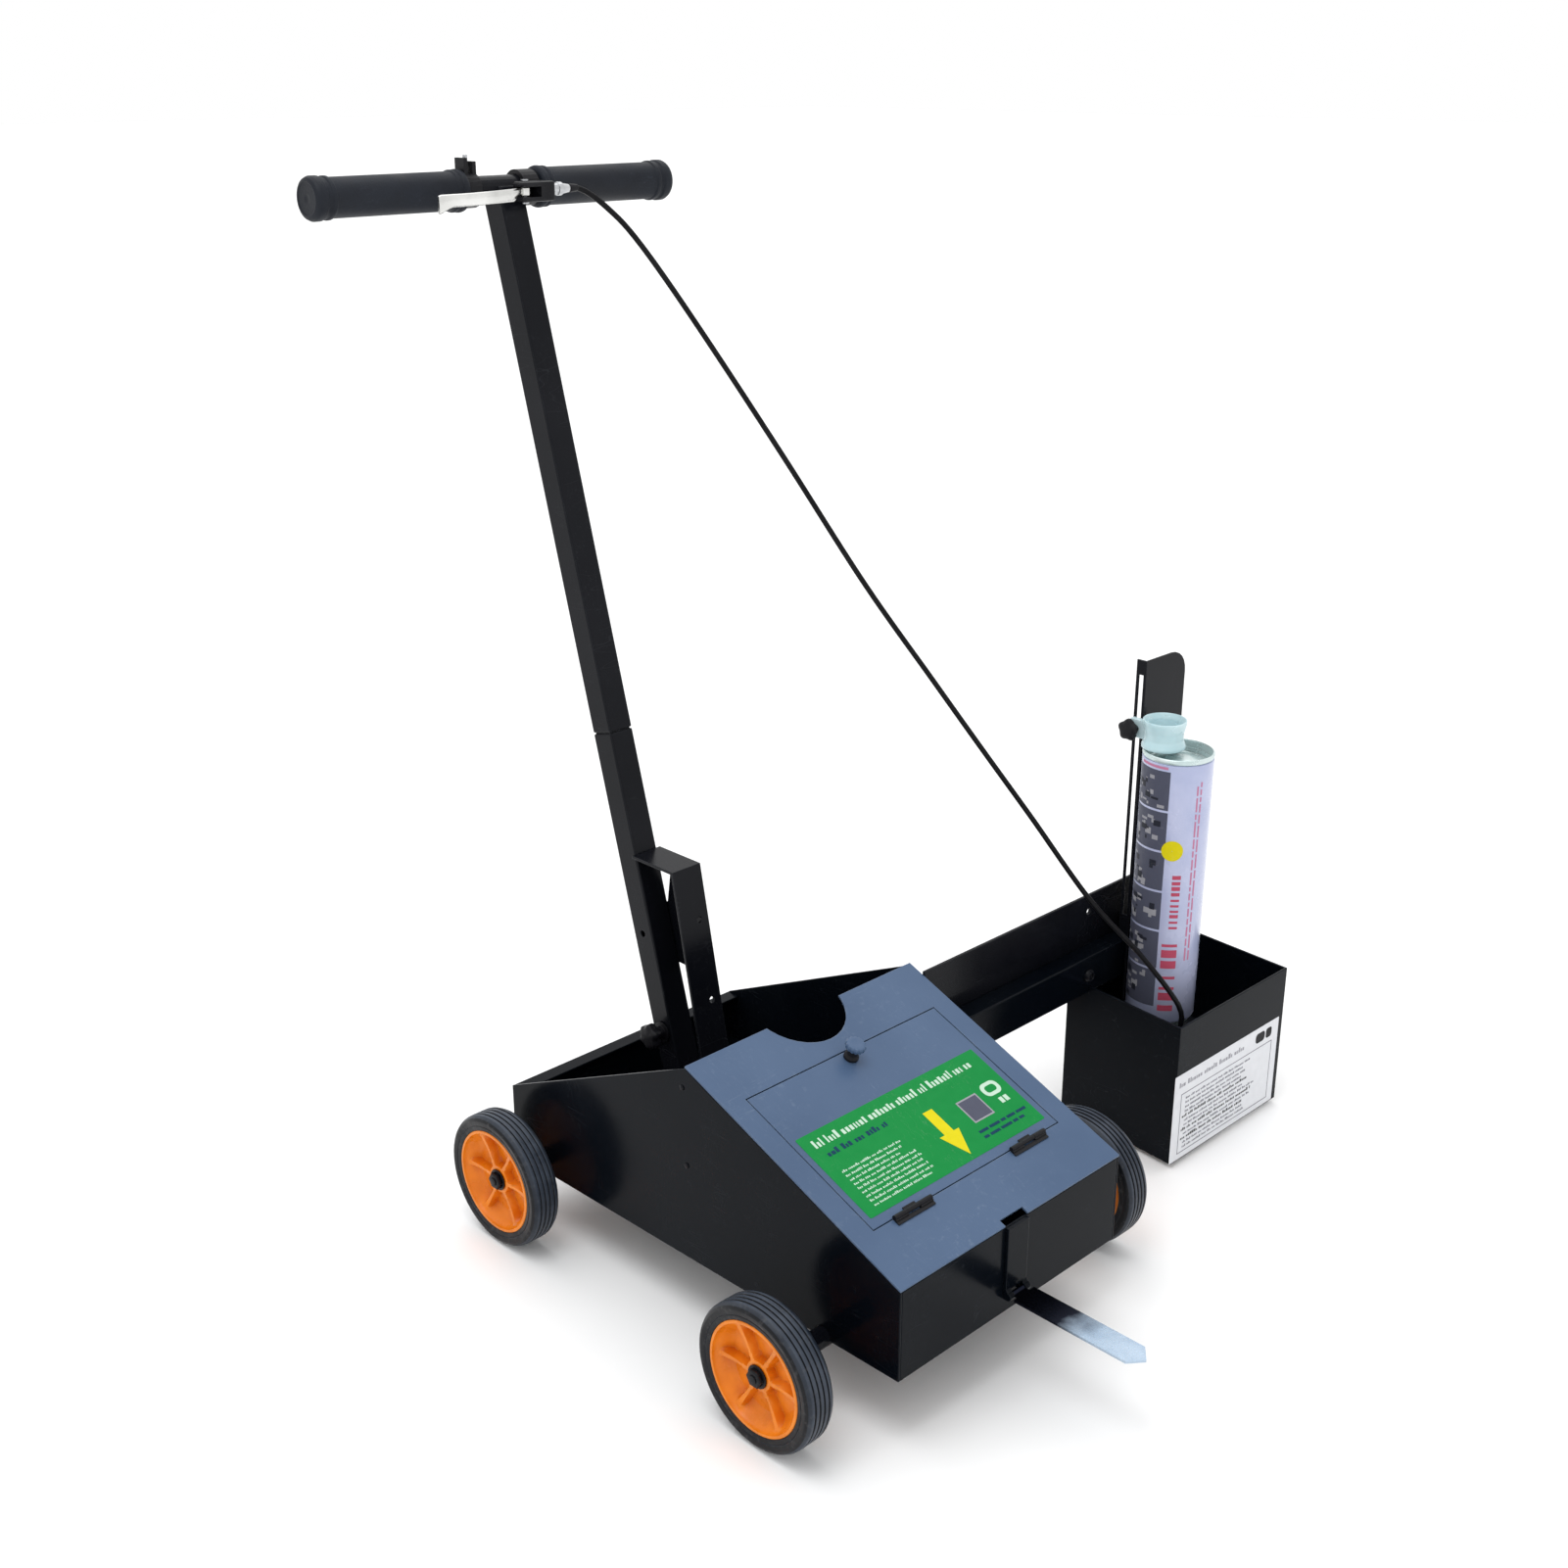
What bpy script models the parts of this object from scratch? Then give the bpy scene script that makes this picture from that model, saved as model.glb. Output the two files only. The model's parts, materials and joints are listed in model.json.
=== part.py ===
"""A walk-behind line striping machine for inverted spray cans.

Frame: +X is the machine's left, -Y is forward, +Z is up, and the wheels stand on z = 0.
Everything below is laid out about the middle of the chassis. One empty then shifts the whole
machine, so that the origin lies on the ground under the middle of its bounding box.
"""

import math

import bmesh
import bpy
from mathutils import Matrix, Vector

# ---------------------------------------------------------------- driving dimensions (metres)
GAP = 0.0003                    # air between pieces that touch
SHEET = 0.002                   # chassis, lid and guard sheet

CHASSIS_WIDTH = 0.266
FRONT_Y = -0.211
PEAK_Y = 0.022
REAR_Y = 0.256
FRONT_TOP_Z = 0.142
PEAK_Z = 0.235
REAR_TOP_Z = 0.123
FRONT_BOTTOM_Z = 0.061
REAR_BOTTOM_Z = 0.052
REAR_FLANGE = 0.014

WHEEL_RADIUS = 0.061
TYRE_WIDTH = 0.029
TYRE_DEPTH = 0.0135             # radial thickness of the rubber
FRONT_AXLE_Y = -0.1326
REAR_AXLE_Y = 0.2215
FRONT_WHEEL_OUT = 0.0766        # from the chassis side to the outer face of a front tyre
REAR_WHEEL_OUT = 0.0523
AXLE_RADIUS = 0.005
SPACER_RADIUS = 0.0085

WELL_Y = 0.034                  # middle of the centre can well
WELL_RADIUS = 0.044
WELL_WALL = 0.0015
WELL_HEIGHT = 0.088

DOOR_WIDTH = 0.222
DOOR_LOW = 0.0515               # distances up the lid from its front edge
DOOR_HIGH = 0.1990
DOOR_MARGIN = 0.0010
LID_OVERHANG = 0.0008
HINGE_X = 0.0695
HINGE_LENGTH = 0.0420
KNUCKLE_RADIUS = 0.0021
PIN_RADIUS = 0.0011
LATCH_FROM_TOP = 0.0075         # latch knob below the door's top edge

POINTER_WIDTH = 0.025
POINTER_THICKNESS = 0.002
POINTER_Z = 0.078
POINTER_REACH = 0.122           # pivot to tip
STRAP_THICKNESS = 0.003
POINTER_KNUCKLE = 0.0038

ARM_FRONT_Y = -0.016            # front face of the arm's tube
ARM_TUBE_DEPTH = 0.020
ARM_TUBE_LOW_Z = 0.142
ARM_TUBE_HIGH_Z = 0.180
ARM_WALL = 0.002
ARM_WEB = 0.003
ARM_WEB_HIGH_Z = 0.2315
ARM_OVERRUN = 0.0406            # from the can's axis to the arm's end

GUARD_DEPTH = 0.1125            # from the arm's front face to the guard's front wall
GUARD_REACH = (0.0744, 0.1056)  # from the can's axis to the ends of that wall, right and left
GUARD_SPLAY = (0.012, 0.009)    # how far the side walls lean outward towards the rear
GUARD_LOW_Z = 0.005
GUARD_HIGH_Z = 0.149

POST_OFFSET = 0.0078            # from the post's flange to the can's axis
POST_WIDTH = 0.0634
POST_DEPTH = 0.011
POST_HIGH_Z = 0.462
SLOT_WIDTH = 0.0055
SLOT_LOW_Z = 0.205
SLOT_HIGH_Z = 0.448

CAN_OUT = 0.2814                # from the chassis side to the can's axis
CAN_CLEARANCE = 0.0033          # between the can and the post's plate
CAN_RADIUS = 0.033
CAN_HIGH_Z = 0.384
CAN_NECK_RADIUS = 0.0125
CAN_WALL = 0.0018               # thicker than the tin, so that the shell weighs what a full can does
SHELF_Z = 0.092
SHELF_THICKNESS = 0.002

CLAMP_Z = 0.398
PAD_OFFSET = (-0.0059, 0.0134)  # the pad's middle from the can's axis
PAD_RADIUS = 0.0195
PAD_HEIGHT = 0.027

CABLE_DIAMETER = 0.005
CABLE_GAP = 0.0008              # between the cable and the metal ends it meets at an angle
CABLE_STOP_OFFSET = (-0.0399, -0.0524)  # where the cable meets the shelf, from the can's axis
FERRULE_RADIUS = 0.0042
FERRULE_HEIGHT = 0.021

COLUMN_SIZE = 0.025
COLUMN_WALL = 0.0015
COLUMN_LEAN = math.radians(15.2)
COLUMN_GROUND_Y = 0.14575       # where the column's middle line would meet the ground
BAR_Z = 0.8788
BAR_RADIUS = 0.011
BAR_ENDS = (-0.183, 0.173)      # the bar sits a little to the right on its column
COLUMN_JOINT_Z = 0.425
GRIP_RADIUS = 0.0175
GRIP_LENGTH = 0.146
GRIP_OVERRUN = 0.006            # from the bar's end to the grip's closed end

BRACKET_SHEET = 0.0025
BRACKET_HALF = 0.017
BRACKET_FOOT_Y = 0.1155
BRACKET_TOP_Y = 0.1655
BRACKET_TOP_Z = 0.322
BRACKET_FLANGE_LOW_Z = 0.217

LEVER_PIVOT_X = 0.006
LEVER_LENGTH = 0.102
LEVER_BOW = 0.020

# ---------------------------------------------------------------- values that follow
HALF_WIDTH = CHASSIS_WIDTH / 2
LID_SLOPE = math.atan2(PEAK_Z - FRONT_TOP_Z, PEAK_Y - FRONT_Y)
LID_LENGTH = math.hypot(PEAK_Z - FRONT_TOP_Z, PEAK_Y - FRONT_Y)
LID_DROP = (SHEET + GAP) / math.cos(LID_SLOPE)
FLOOR_Z = WHEEL_RADIUS + SPACER_RADIUS + 0.003
FLOOR_TOP_Z = FLOOR_Z + SHEET
INNER_HALF = HALF_WIDTH - SHEET - GAP
COLUMN_DIRECTION = Vector((0, math.sin(COLUMN_LEAN), math.cos(COLUMN_LEAN)))
POST_FRONT_Y = ARM_FRONT_Y - GAP - SHEET
FRONT_WHEEL_FACE_X = HALF_WIDTH + FRONT_WHEEL_OUT
REAR_WHEEL_FACE_X = HALF_WIDTH + REAR_WHEEL_OUT
CAN_X = HALF_WIDTH + CAN_OUT
CAN_Y = POST_FRONT_Y - CAN_CLEARANCE - CAN_RADIUS
PAD_X = CAN_X + PAD_OFFSET[0]
PAD_Y = CAN_Y + PAD_OFFSET[1]
CABLE_STOP = (CAN_X + CABLE_STOP_OFFSET[0], CAN_Y + CABLE_STOP_OFFSET[1])
POST_X = CAN_X - POST_OFFSET
ARM_END_X = CAN_X + ARM_OVERRUN
GUARD_FRONT_X = (CAN_X - GUARD_REACH[0], CAN_X + GUARD_REACH[1])
GUARD_FRONT_Y = ARM_FRONT_Y - GUARD_DEPTH
GUARD_REAR_Y = ARM_FRONT_Y + ARM_TUBE_DEPTH + GAP + ARM_WEB + GAP + SHEET
POST_LOW_Z = SHELF_Z - 0.010
CAN_SHOULDER_Z = SHELF_Z + 0.025
SLOT_Y = POST_FRONT_Y + SHEET + 0.001 + SLOT_WIDTH / 2
HALF_PI = math.pi / 2
BAR_Y = COLUMN_GROUND_Y + BAR_Z * math.tan(COLUMN_LEAN)
LEVER_PIVOT = (LEVER_PIVOT_X, BAR_Y - COLUMN_SIZE / 2 - 0.011)  # x and y of the brake lever's pin
LEVER_Z = BAR_Z - 0.0018

# Outermost points of the machine, which fix where its bounding box lies.
LOWEST_X = -FRONT_WHEEL_FACE_X
HIGHEST_X = GUARD_FRONT_X[1] + GUARD_SPLAY[1]
POINTER_PIVOT_Y = FRONT_Y - GAP - STRAP_THICKNESS - 0.0015
LOWEST_Y = POINTER_PIVOT_Y - POINTER_REACH
HIGHEST_Y = BAR_Y + GRIP_RADIUS
FRAME_SHIFT = Vector((-(LOWEST_X + HIGHEST_X) / 2, -(LOWEST_Y + HIGHEST_Y) / 2, 0))

MATERIALS = {
    "gloss_black": ((0.012, 0.012, 0.014), 0.16, 0.0),
    "lid_grey": ((0.128, 0.178, 0.292), 0.30, 0.0),
    "rubber": ((0.018, 0.018, 0.020), 0.62, 0.0),
    "orange_plastic": ((0.90, 0.22, 0.01), 0.38, 0.0),
    "black_plastic": ((0.015, 0.015, 0.017), 0.45, 0.0),
    "foam": ((0.020, 0.022, 0.030), 0.80, 0.0),
    "steel": ((0.62, 0.64, 0.66), 0.22, 1.0),
    "can_paint": ((0.74, 0.76, 0.86), 0.25, 0.0),
    "white_plastic": ((0.72, 0.82, 0.82), 0.35, 0.0),
    "cable_black": ((0.012, 0.012, 0.013), 0.40, 0.0),
}


# ---------------------------------------------------------------- scene and material helpers
def clear_scene():
    for obj in list(bpy.data.objects):
        bpy.data.objects.remove(obj, do_unlink=True)


def make_materials():
    made = {}
    for name, (colour, roughness, metallic) in MATERIALS.items():
        material = bpy.data.materials.new(name)
        material.use_nodes = True
        shader = material.node_tree.nodes["Principled BSDF"]
        shader.inputs["Base Color"].default_value = (*colour, 1.0)
        shader.inputs["Roughness"].default_value = roughness
        shader.inputs["Metallic"].default_value = metallic
        made[name] = material
    return made


clear_scene()
LOOKS = make_materials()
MACHINE = bpy.data.objects.new("machine", None)
MACHINE.location = FRAME_SHIFT
bpy.context.scene.collection.objects.link(MACHINE)


def add_object(name, shape, look=None, pivot=(0, 0, 0), smooth=False):
    """Makes an object of a bmesh, with its origin at pivot. Without a look it is a hidden helper."""
    pivot = Vector(pivot)
    bmesh.ops.translate(shape, verts=shape.verts, vec=-pivot)
    bmesh.ops.recalc_face_normals(shape, faces=shape.faces)
    mesh = bpy.data.meshes.new(name)
    shape.to_mesh(mesh)
    shape.free()
    obj = bpy.data.objects.new(name, mesh)
    obj.location = pivot
    obj.parent = MACHINE
    bpy.context.scene.collection.objects.link(obj)
    if look:
        mesh.materials.append(LOOKS[look])
    else:
        obj.hide_render = True
        obj.display_type = "WIRE"
    if smooth:
        mesh.shade_smooth()
        mesh.set_sharp_from_angle(angle=math.radians(35))
    return obj


def combine(obj, operation, *shapes):
    """Cuts shapes from an object (DIFFERENCE) or adds them to it (UNION)."""
    for index, shape in enumerate(shapes):
        helper = add_object(f"{obj.name}_{operation.lower()}_{index}", shape)
        modifier = obj.modifiers.new(f"{operation.title()} {index}", "BOOLEAN")
        modifier.operation = operation
        modifier.object = helper
    return obj


def cut_with(obj, *shapes):
    """Cuts shapes after everything else that has been done to the object."""
    for shape in shapes:
        index = len(obj.modifiers)
        helper = add_object(f"{obj.name}_cut_{index}", shape)
        modifier = obj.modifiers.new(f"Cut {index}", "BOOLEAN")
        modifier.operation = "DIFFERENCE"
        modifier.object = helper
    return obj


def bevel(obj, width, segments=1):
    modifier = obj.modifiers.new("Bevel", "BEVEL")
    modifier.width = width
    modifier.segments = segments
    modifier.limit_method = "ANGLE"
    modifier.angle_limit = math.radians(40)
    return obj


# ---------------------------------------------------------------- shape helpers
def block(low, high, frame=None):
    """A rectangular solid between two corners."""
    shape = bmesh.new()
    bmesh.ops.create_cube(shape, size=1)
    size = [b - a for a, b in zip(low, high)]
    middle = [(a + b) / 2 for a, b in zip(low, high)]
    bmesh.ops.scale(shape, verts=shape.verts, vec=size)
    bmesh.ops.translate(shape, verts=shape.verts, vec=middle)
    if frame:
        bmesh.ops.transform(shape, matrix=frame, verts=shape.verts)
    return shape


def prism(outline, start, end, along="X", frame=None):
    """An outline extruded along one axis. The outline's points are in the other two axes' order."""
    place = {
        "X": lambda a, b: (start, a, b),
        "Y": lambda a, b: (a, start, b),
        "Z": lambda a, b: (a, b, start),
    }[along]
    step = Vector({"X": (1, 0, 0), "Y": (0, 1, 0), "Z": (0, 0, 1)}[along]) * (end - start)
    shape = bmesh.new()
    face = shape.faces.new([shape.verts.new(place(a, b)) for a, b in outline])
    made = bmesh.ops.extrude_face_region(shape, geom=[face])
    moved = [item for item in made["geom"] if isinstance(item, bmesh.types.BMVert)]
    bmesh.ops.translate(shape, verts=moved, vec=step)
    if frame:
        bmesh.ops.transform(shape, matrix=frame, verts=shape.verts)
    return shape


def turned(profile, frame, segments=24, closed=False):
    """A profile of (radius, height) points turned about the frame's Z axis. A closed profile is a ring."""
    shape = bmesh.new()
    rings = []
    for radius, height in profile:
        count = segments if radius > 0 else 1
        rings.append([
            shape.verts.new((
                radius * math.cos(math.tau * i / count),
                radius * math.sin(math.tau * i / count),
                height,
            ))
            for i in range(count)
        ])
    pairs = list(zip(rings, rings[1:]))
    if closed:
        pairs.append((rings[-1], rings[0]))
    for lower, upper in pairs:
        for i in range(segments):
            j = (i + 1) % segments
            corners = [lower[i % len(lower)], lower[j % len(lower)]]
            corners += [upper[j % len(upper)], upper[i % len(upper)]]
            shape.faces.new(list(dict.fromkeys(corners)))
    if not closed:
        for ring in (rings[0], rings[-1]):
            if len(ring) > 1:
                shape.faces.new(ring)
    bmesh.ops.transform(shape, matrix=frame, verts=shape.verts)
    return shape


def frame_at(point, direction=(0, 0, 1)):
    """A frame at a point whose Z axis is the direction."""
    turn = Vector(direction).to_track_quat("Z", "Y").to_matrix().to_4x4()
    return Matrix.Translation(Vector(point)) @ turn


def rod(start, end, radius, segments=16):
    start, end = Vector(start), Vector(end)
    length = (end - start).length
    return turned([(radius, 0), (radius, length)], frame_at(start, end - start), segments)


def pipe(start, end, outer, inner, segments=24):
    start, end = Vector(start), Vector(end)
    length = (end - start).length
    ring = [(outer, 0), (outer, length), (inner, length), (inner, 0)]
    return turned(ring, frame_at(start, end - start), segments, closed=True)


def rounded_outline(low, high, radius, steps=6):
    """A rectangle with its upper right corner rounded, for prism."""
    points = [(low[0], low[1]), (high[0], low[1])]
    for i in range(steps + 1):
        angle = HALF_PI * i / steps
        points.append((
            high[0] - radius + radius * math.cos(angle),
            high[1] - radius + radius * math.sin(angle),
        ))
    return [*points, (low[0], high[1])]


LID = Matrix((
    (1, 0, 0, 0),
    (0, math.cos(LID_SLOPE), -math.sin(LID_SLOPE), FRONT_Y),
    (0, math.sin(LID_SLOPE), math.cos(LID_SLOPE), FRONT_TOP_Z),
    (0, 0, 0, 1),
))


# ---------------------------------------------------------------- chassis
def axle_slot(y, side):
    """A drop-out slot that an axle sits in, open at a side panel's bottom edge."""
    radius = SPACER_RADIUS + GAP
    points = [(y - radius, 0), (y + radius, 0)]
    for i in range(13):
        angle = math.pi * i / 12
        points.append((y + radius * math.cos(angle), WHEEL_RADIUS + radius * math.sin(angle)))
    x = side * (HALF_WIDTH - SHEET / 2)
    return prism(points, x - SHEET, x + SHEET)


def make_side_panel(name, side):
    outline = [
        (REAR_Y, REAR_BOTTOM_Z),
        (REAR_Y, REAR_TOP_Z),
        (PEAK_Y + GAP, PEAK_Z - LID_DROP),
        (FRONT_Y, FRONT_TOP_Z - LID_DROP),
        (FRONT_Y, FRONT_BOTTOM_Z),
    ]
    ends = sorted((side * (HALF_WIDTH - SHEET), side * HALF_WIDTH))
    panel = bevel(add_object(name, prism(outline, *ends), "gloss_black"), 0.0003)
    cuts = [axle_slot(FRONT_AXLE_Y, side), axle_slot(REAR_AXLE_Y, side)]
    if side > 0:
        cuts += [arm_bolt_shape(place, GAP, False) for place in ARM_BOLTS]
    return combine(panel, "DIFFERENCE", *cuts)


def make_front_panel():
    top = FRONT_TOP_Z - LID_DROP
    low = (-INNER_HALF, FRONT_Y, FRONT_BOTTOM_Z)
    high = (INNER_HALF, FRONT_Y + SHEET, top)
    return bevel(add_object("front_panel", block(low, high), "gloss_black"), 0.0003)


def make_rear_panel():
    outline = [
        (REAR_Y, REAR_BOTTOM_Z),
        (REAR_Y, REAR_TOP_Z),
        (REAR_Y - REAR_FLANGE, REAR_TOP_Z),
        (REAR_Y - REAR_FLANGE, REAR_TOP_Z - SHEET),
        (REAR_Y - SHEET, REAR_TOP_Z - SHEET),
        (REAR_Y - SHEET, REAR_BOTTOM_Z),
    ]
    panel = add_object("rear_panel", prism(outline, -INNER_HALF, INNER_HALF), "gloss_black")
    return bevel(panel, 0.0003)


def make_floor():
    low = (-INNER_HALF, FRONT_Y + SHEET + GAP, FLOOR_Z)
    high = (INNER_HALF, REAR_Y - SHEET - GAP, FLOOR_TOP_Z)
    floor = add_object("floor_plate", block(low, high), "gloss_black")
    hole = rod((0, WELL_Y, FLOOR_Z - SHEET), (0, WELL_Y, FLOOR_TOP_Z + SHEET), WELL_RADIUS - WELL_WALL, 28)
    return combine(floor, "DIFFERENCE", hole)


def make_can_well():
    start = (0, WELL_Y, FLOOR_TOP_Z + GAP)
    end = (0, WELL_Y, FLOOR_TOP_Z + WELL_HEIGHT)
    tube = pipe(start, end, WELL_RADIUS, WELL_RADIUS - WELL_WALL, 28)
    return add_object("can_well", tube, "gloss_black", smooth=True)


def make_lid():
    low = (-HALF_WIDTH, -LID_OVERHANG, -SHEET)
    high = (HALF_WIDTH, LID_LENGTH, 0)
    lid = add_object("lid_panel", block(low, high, LID), "lid_grey")
    bevel(lid, 0.0003)
    margin = DOOR_WIDTH / 2 + DOOR_MARGIN
    door = block((-margin, DOOR_LOW - DOOR_MARGIN, -0.01), (margin, DOOR_HIGH + DOOR_MARGIN, 0.01), LID)
    half_notch = POINTER_WIDTH / 2 + 0.0012
    notch = block((-half_notch, -0.02, -0.01), (half_notch, 0.0058, 0.01), LID)
    well = rod((0, WELL_Y, PEAK_Z - 0.1), (0, WELL_Y, PEAK_Z + 0.1), WELL_RADIUS + 0.0005, 36)
    return combine(lid, "DIFFERENCE", door, notch, well)


# ---------------------------------------------------------------- access door
HINGE_U = DOOR_LOW - 0.0015
HINGE_H = KNUCKLE_RADIUS + GAP
HINGE_POINT = LID @ Vector((0, HINGE_U, HINGE_H))
LATCH_U = DOOR_HIGH - LATCH_FROM_TOP
LATCH_SHAFT = 0.003


def make_door():
    low = (-DOOR_WIDTH / 2, DOOR_LOW, -SHEET)
    high = (DOOR_WIDTH / 2, DOOR_HIGH, 0)
    door = add_object("access_door", block(low, high, LID), "lid_grey", HINGE_POINT)
    bevel(door, 0.0003)
    hole = turned([(LATCH_SHAFT + GAP, -0.01), (LATCH_SHAFT + GAP, 0.01)],
                  LID @ Matrix.Translation((0, LATCH_U, 0)), 20)
    return combine(door, "DIFFERENCE", hole)


def make_hinge(side_name, x):
    """One leaf with two outer knuckles and the pin on the lid, and one with the middle knuckle."""
    third = HINGE_LENGTH / 6
    start, end = x - HINGE_LENGTH / 2, x + HINGE_LENGTH / 2

    def barrel(a, b, radius):
        return rod(LID @ Vector((a, HINGE_U, HINGE_H)), LID @ Vector((b, HINGE_U, HINGE_H)), radius, 16)

    leaf = block((start, HINGE_U - 0.0062, GAP), (end, HINGE_U - 0.0028, 0.0012), LID)
    fixed = add_object(f"hinge_lid_leaf_{side_name}", leaf, "black_plastic")
    web_low = block((start, HINGE_U - 0.0032, GAP), (x - third, HINGE_U, HINGE_H), LID)
    web_high = block((x + third, HINGE_U - 0.0032, GAP), (end, HINGE_U, HINGE_H), LID)
    pin = barrel(x - third - 0.002, x + third + 0.002, PIN_RADIUS)
    combine(fixed, "UNION", web_low, web_high, barrel(start, x - third, KNUCKLE_RADIUS),
            barrel(x + third, end, KNUCKLE_RADIUS), pin)

    low, high = x - third + GAP, x + third - GAP
    door_leaf = block((low, HINGE_U + 0.0019, GAP), (high, HINGE_U + 0.0048, 0.0012), LID)
    moving = add_object(f"hinge_door_leaf_{side_name}", door_leaf, "black_plastic", HINGE_POINT)
    web = block((low, HINGE_U, GAP), (high, HINGE_U + 0.0022, HINGE_H), LID)
    combine(moving, "UNION", web, barrel(low, high, KNUCKLE_RADIUS))
    combine(moving, "DIFFERENCE", barrel(low - 0.002, high + 0.002, PIN_RADIUS + GAP))


def make_latch():
    """The knob, its shaft through the door, and the cam that turns to catch under the lid."""
    frame = LID @ Matrix.Translation((0, LATCH_U, 0))
    top = -SHEET - 2 * GAP
    profile = [
        (LATCH_SHAFT, top - 0.001), (LATCH_SHAFT, GAP), (0.0065, GAP), (0.0065, 0.0030),
        (0.0042, 0.0055), (0.0042, 0.0095), (0.0078, 0.0120), (0.0085, 0.0145),
        (0.0072, 0.0165), (0.0030, 0.0175),
    ]
    pivot = LID @ Vector((0, LATCH_U, 0))
    knob = add_object("latch_knob", turned(profile, frame, 18), "black_plastic", pivot, smooth=True)
    cam = block((-0.006, LATCH_U - 0.006, top - 0.002), (0.017, LATCH_U + 0.006, top), LID)
    combine(knob, "UNION", cam)


# ---------------------------------------------------------------- pointer
POINTER_PIVOT = (0, POINTER_PIVOT_Y, POINTER_Z)


def pointer_knuckle(x_start, x_end, radius):
    return rod((x_start, POINTER_PIVOT_Y, POINTER_Z), (x_end, POINTER_PIVOT_Y, POINTER_Z), radius, 20)


def make_pointer():
    half = POINTER_WIDTH / 2
    ear = 0.0055
    front = FRONT_Y - GAP
    strap = block((-half, front - STRAP_THICKNESS, POINTER_Z + 0.0048),
                  (half, front, FRONT_TOP_Z - LID_DROP - GAP))
    strap_object = add_object("pointer_strap", strap, "gloss_black")
    outline = [(front, POINTER_Z + 0.0060), (front, POINTER_Z - 0.0034)]
    for i in range(9):
        angle = -HALF_PI - math.pi * i / 8
        outline.append((POINTER_PIVOT_Y + 0.0034 * math.cos(angle), POINTER_Z + 0.0034 * math.sin(angle)))
    outline.append((front - STRAP_THICKNESS, POINTER_Z + 0.0060))
    combine(
        strap_object, "UNION", prism(outline, -half, -half + ear), prism(outline, half - ear, half),
        pointer_knuckle(-half + ear / 2, half - ear / 2, 0.0012),
    )

    tip = POINTER_PIVOT_Y - POINTER_REACH
    shoulder = POINTER_PIVOT_Y - 0.0064
    neck = half - ear - GAP
    outline = [
        (-neck, POINTER_PIVOT_Y), (-neck, shoulder), (-half, shoulder), (-half, tip + 0.010),
        (0, tip), (half, tip + 0.010), (half, shoulder), (neck, shoulder), (neck, POINTER_PIVOT_Y),
    ]
    thick = POINTER_THICKNESS / 2
    strip = prism(outline, POINTER_Z - thick, POINTER_Z + thick, along="Z")
    pointer = add_object("pointer", strip, "steel", POINTER_PIVOT)
    combine(pointer, "UNION", pointer_knuckle(-neck, neck, 0.0026))
    cut_with(pointer, pointer_knuckle(-neck - 0.002, neck + 0.002, 0.0012 + GAP))


# ---------------------------------------------------------------- wheels and axles
HUB_RADIUS = WHEEL_RADIUS - TYRE_DEPTH
HUB_INSET_IN = 0.0055
HUB_INSET_OUT = 0.0015
HUB_RIBS = 6
HUB_BORE = AXLE_RADIUS + GAP


def make_axle(name, y, face_x):
    inner = face_x - TYRE_WIDTH + HUB_INSET_IN - GAP
    outer = face_x - 0.006
    half = [(AXLE_RADIUS, -outer), (AXLE_RADIUS, -inner), (SPACER_RADIUS, -inner), (SPACER_RADIUS, inner),
            (AXLE_RADIUS, inner), (AXLE_RADIUS, outer)]
    frame = frame_at((0, y, WHEEL_RADIUS), (1, 0, 0))
    add_object(name, turned(half, frame, 16), "gloss_black", smooth=True)


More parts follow.
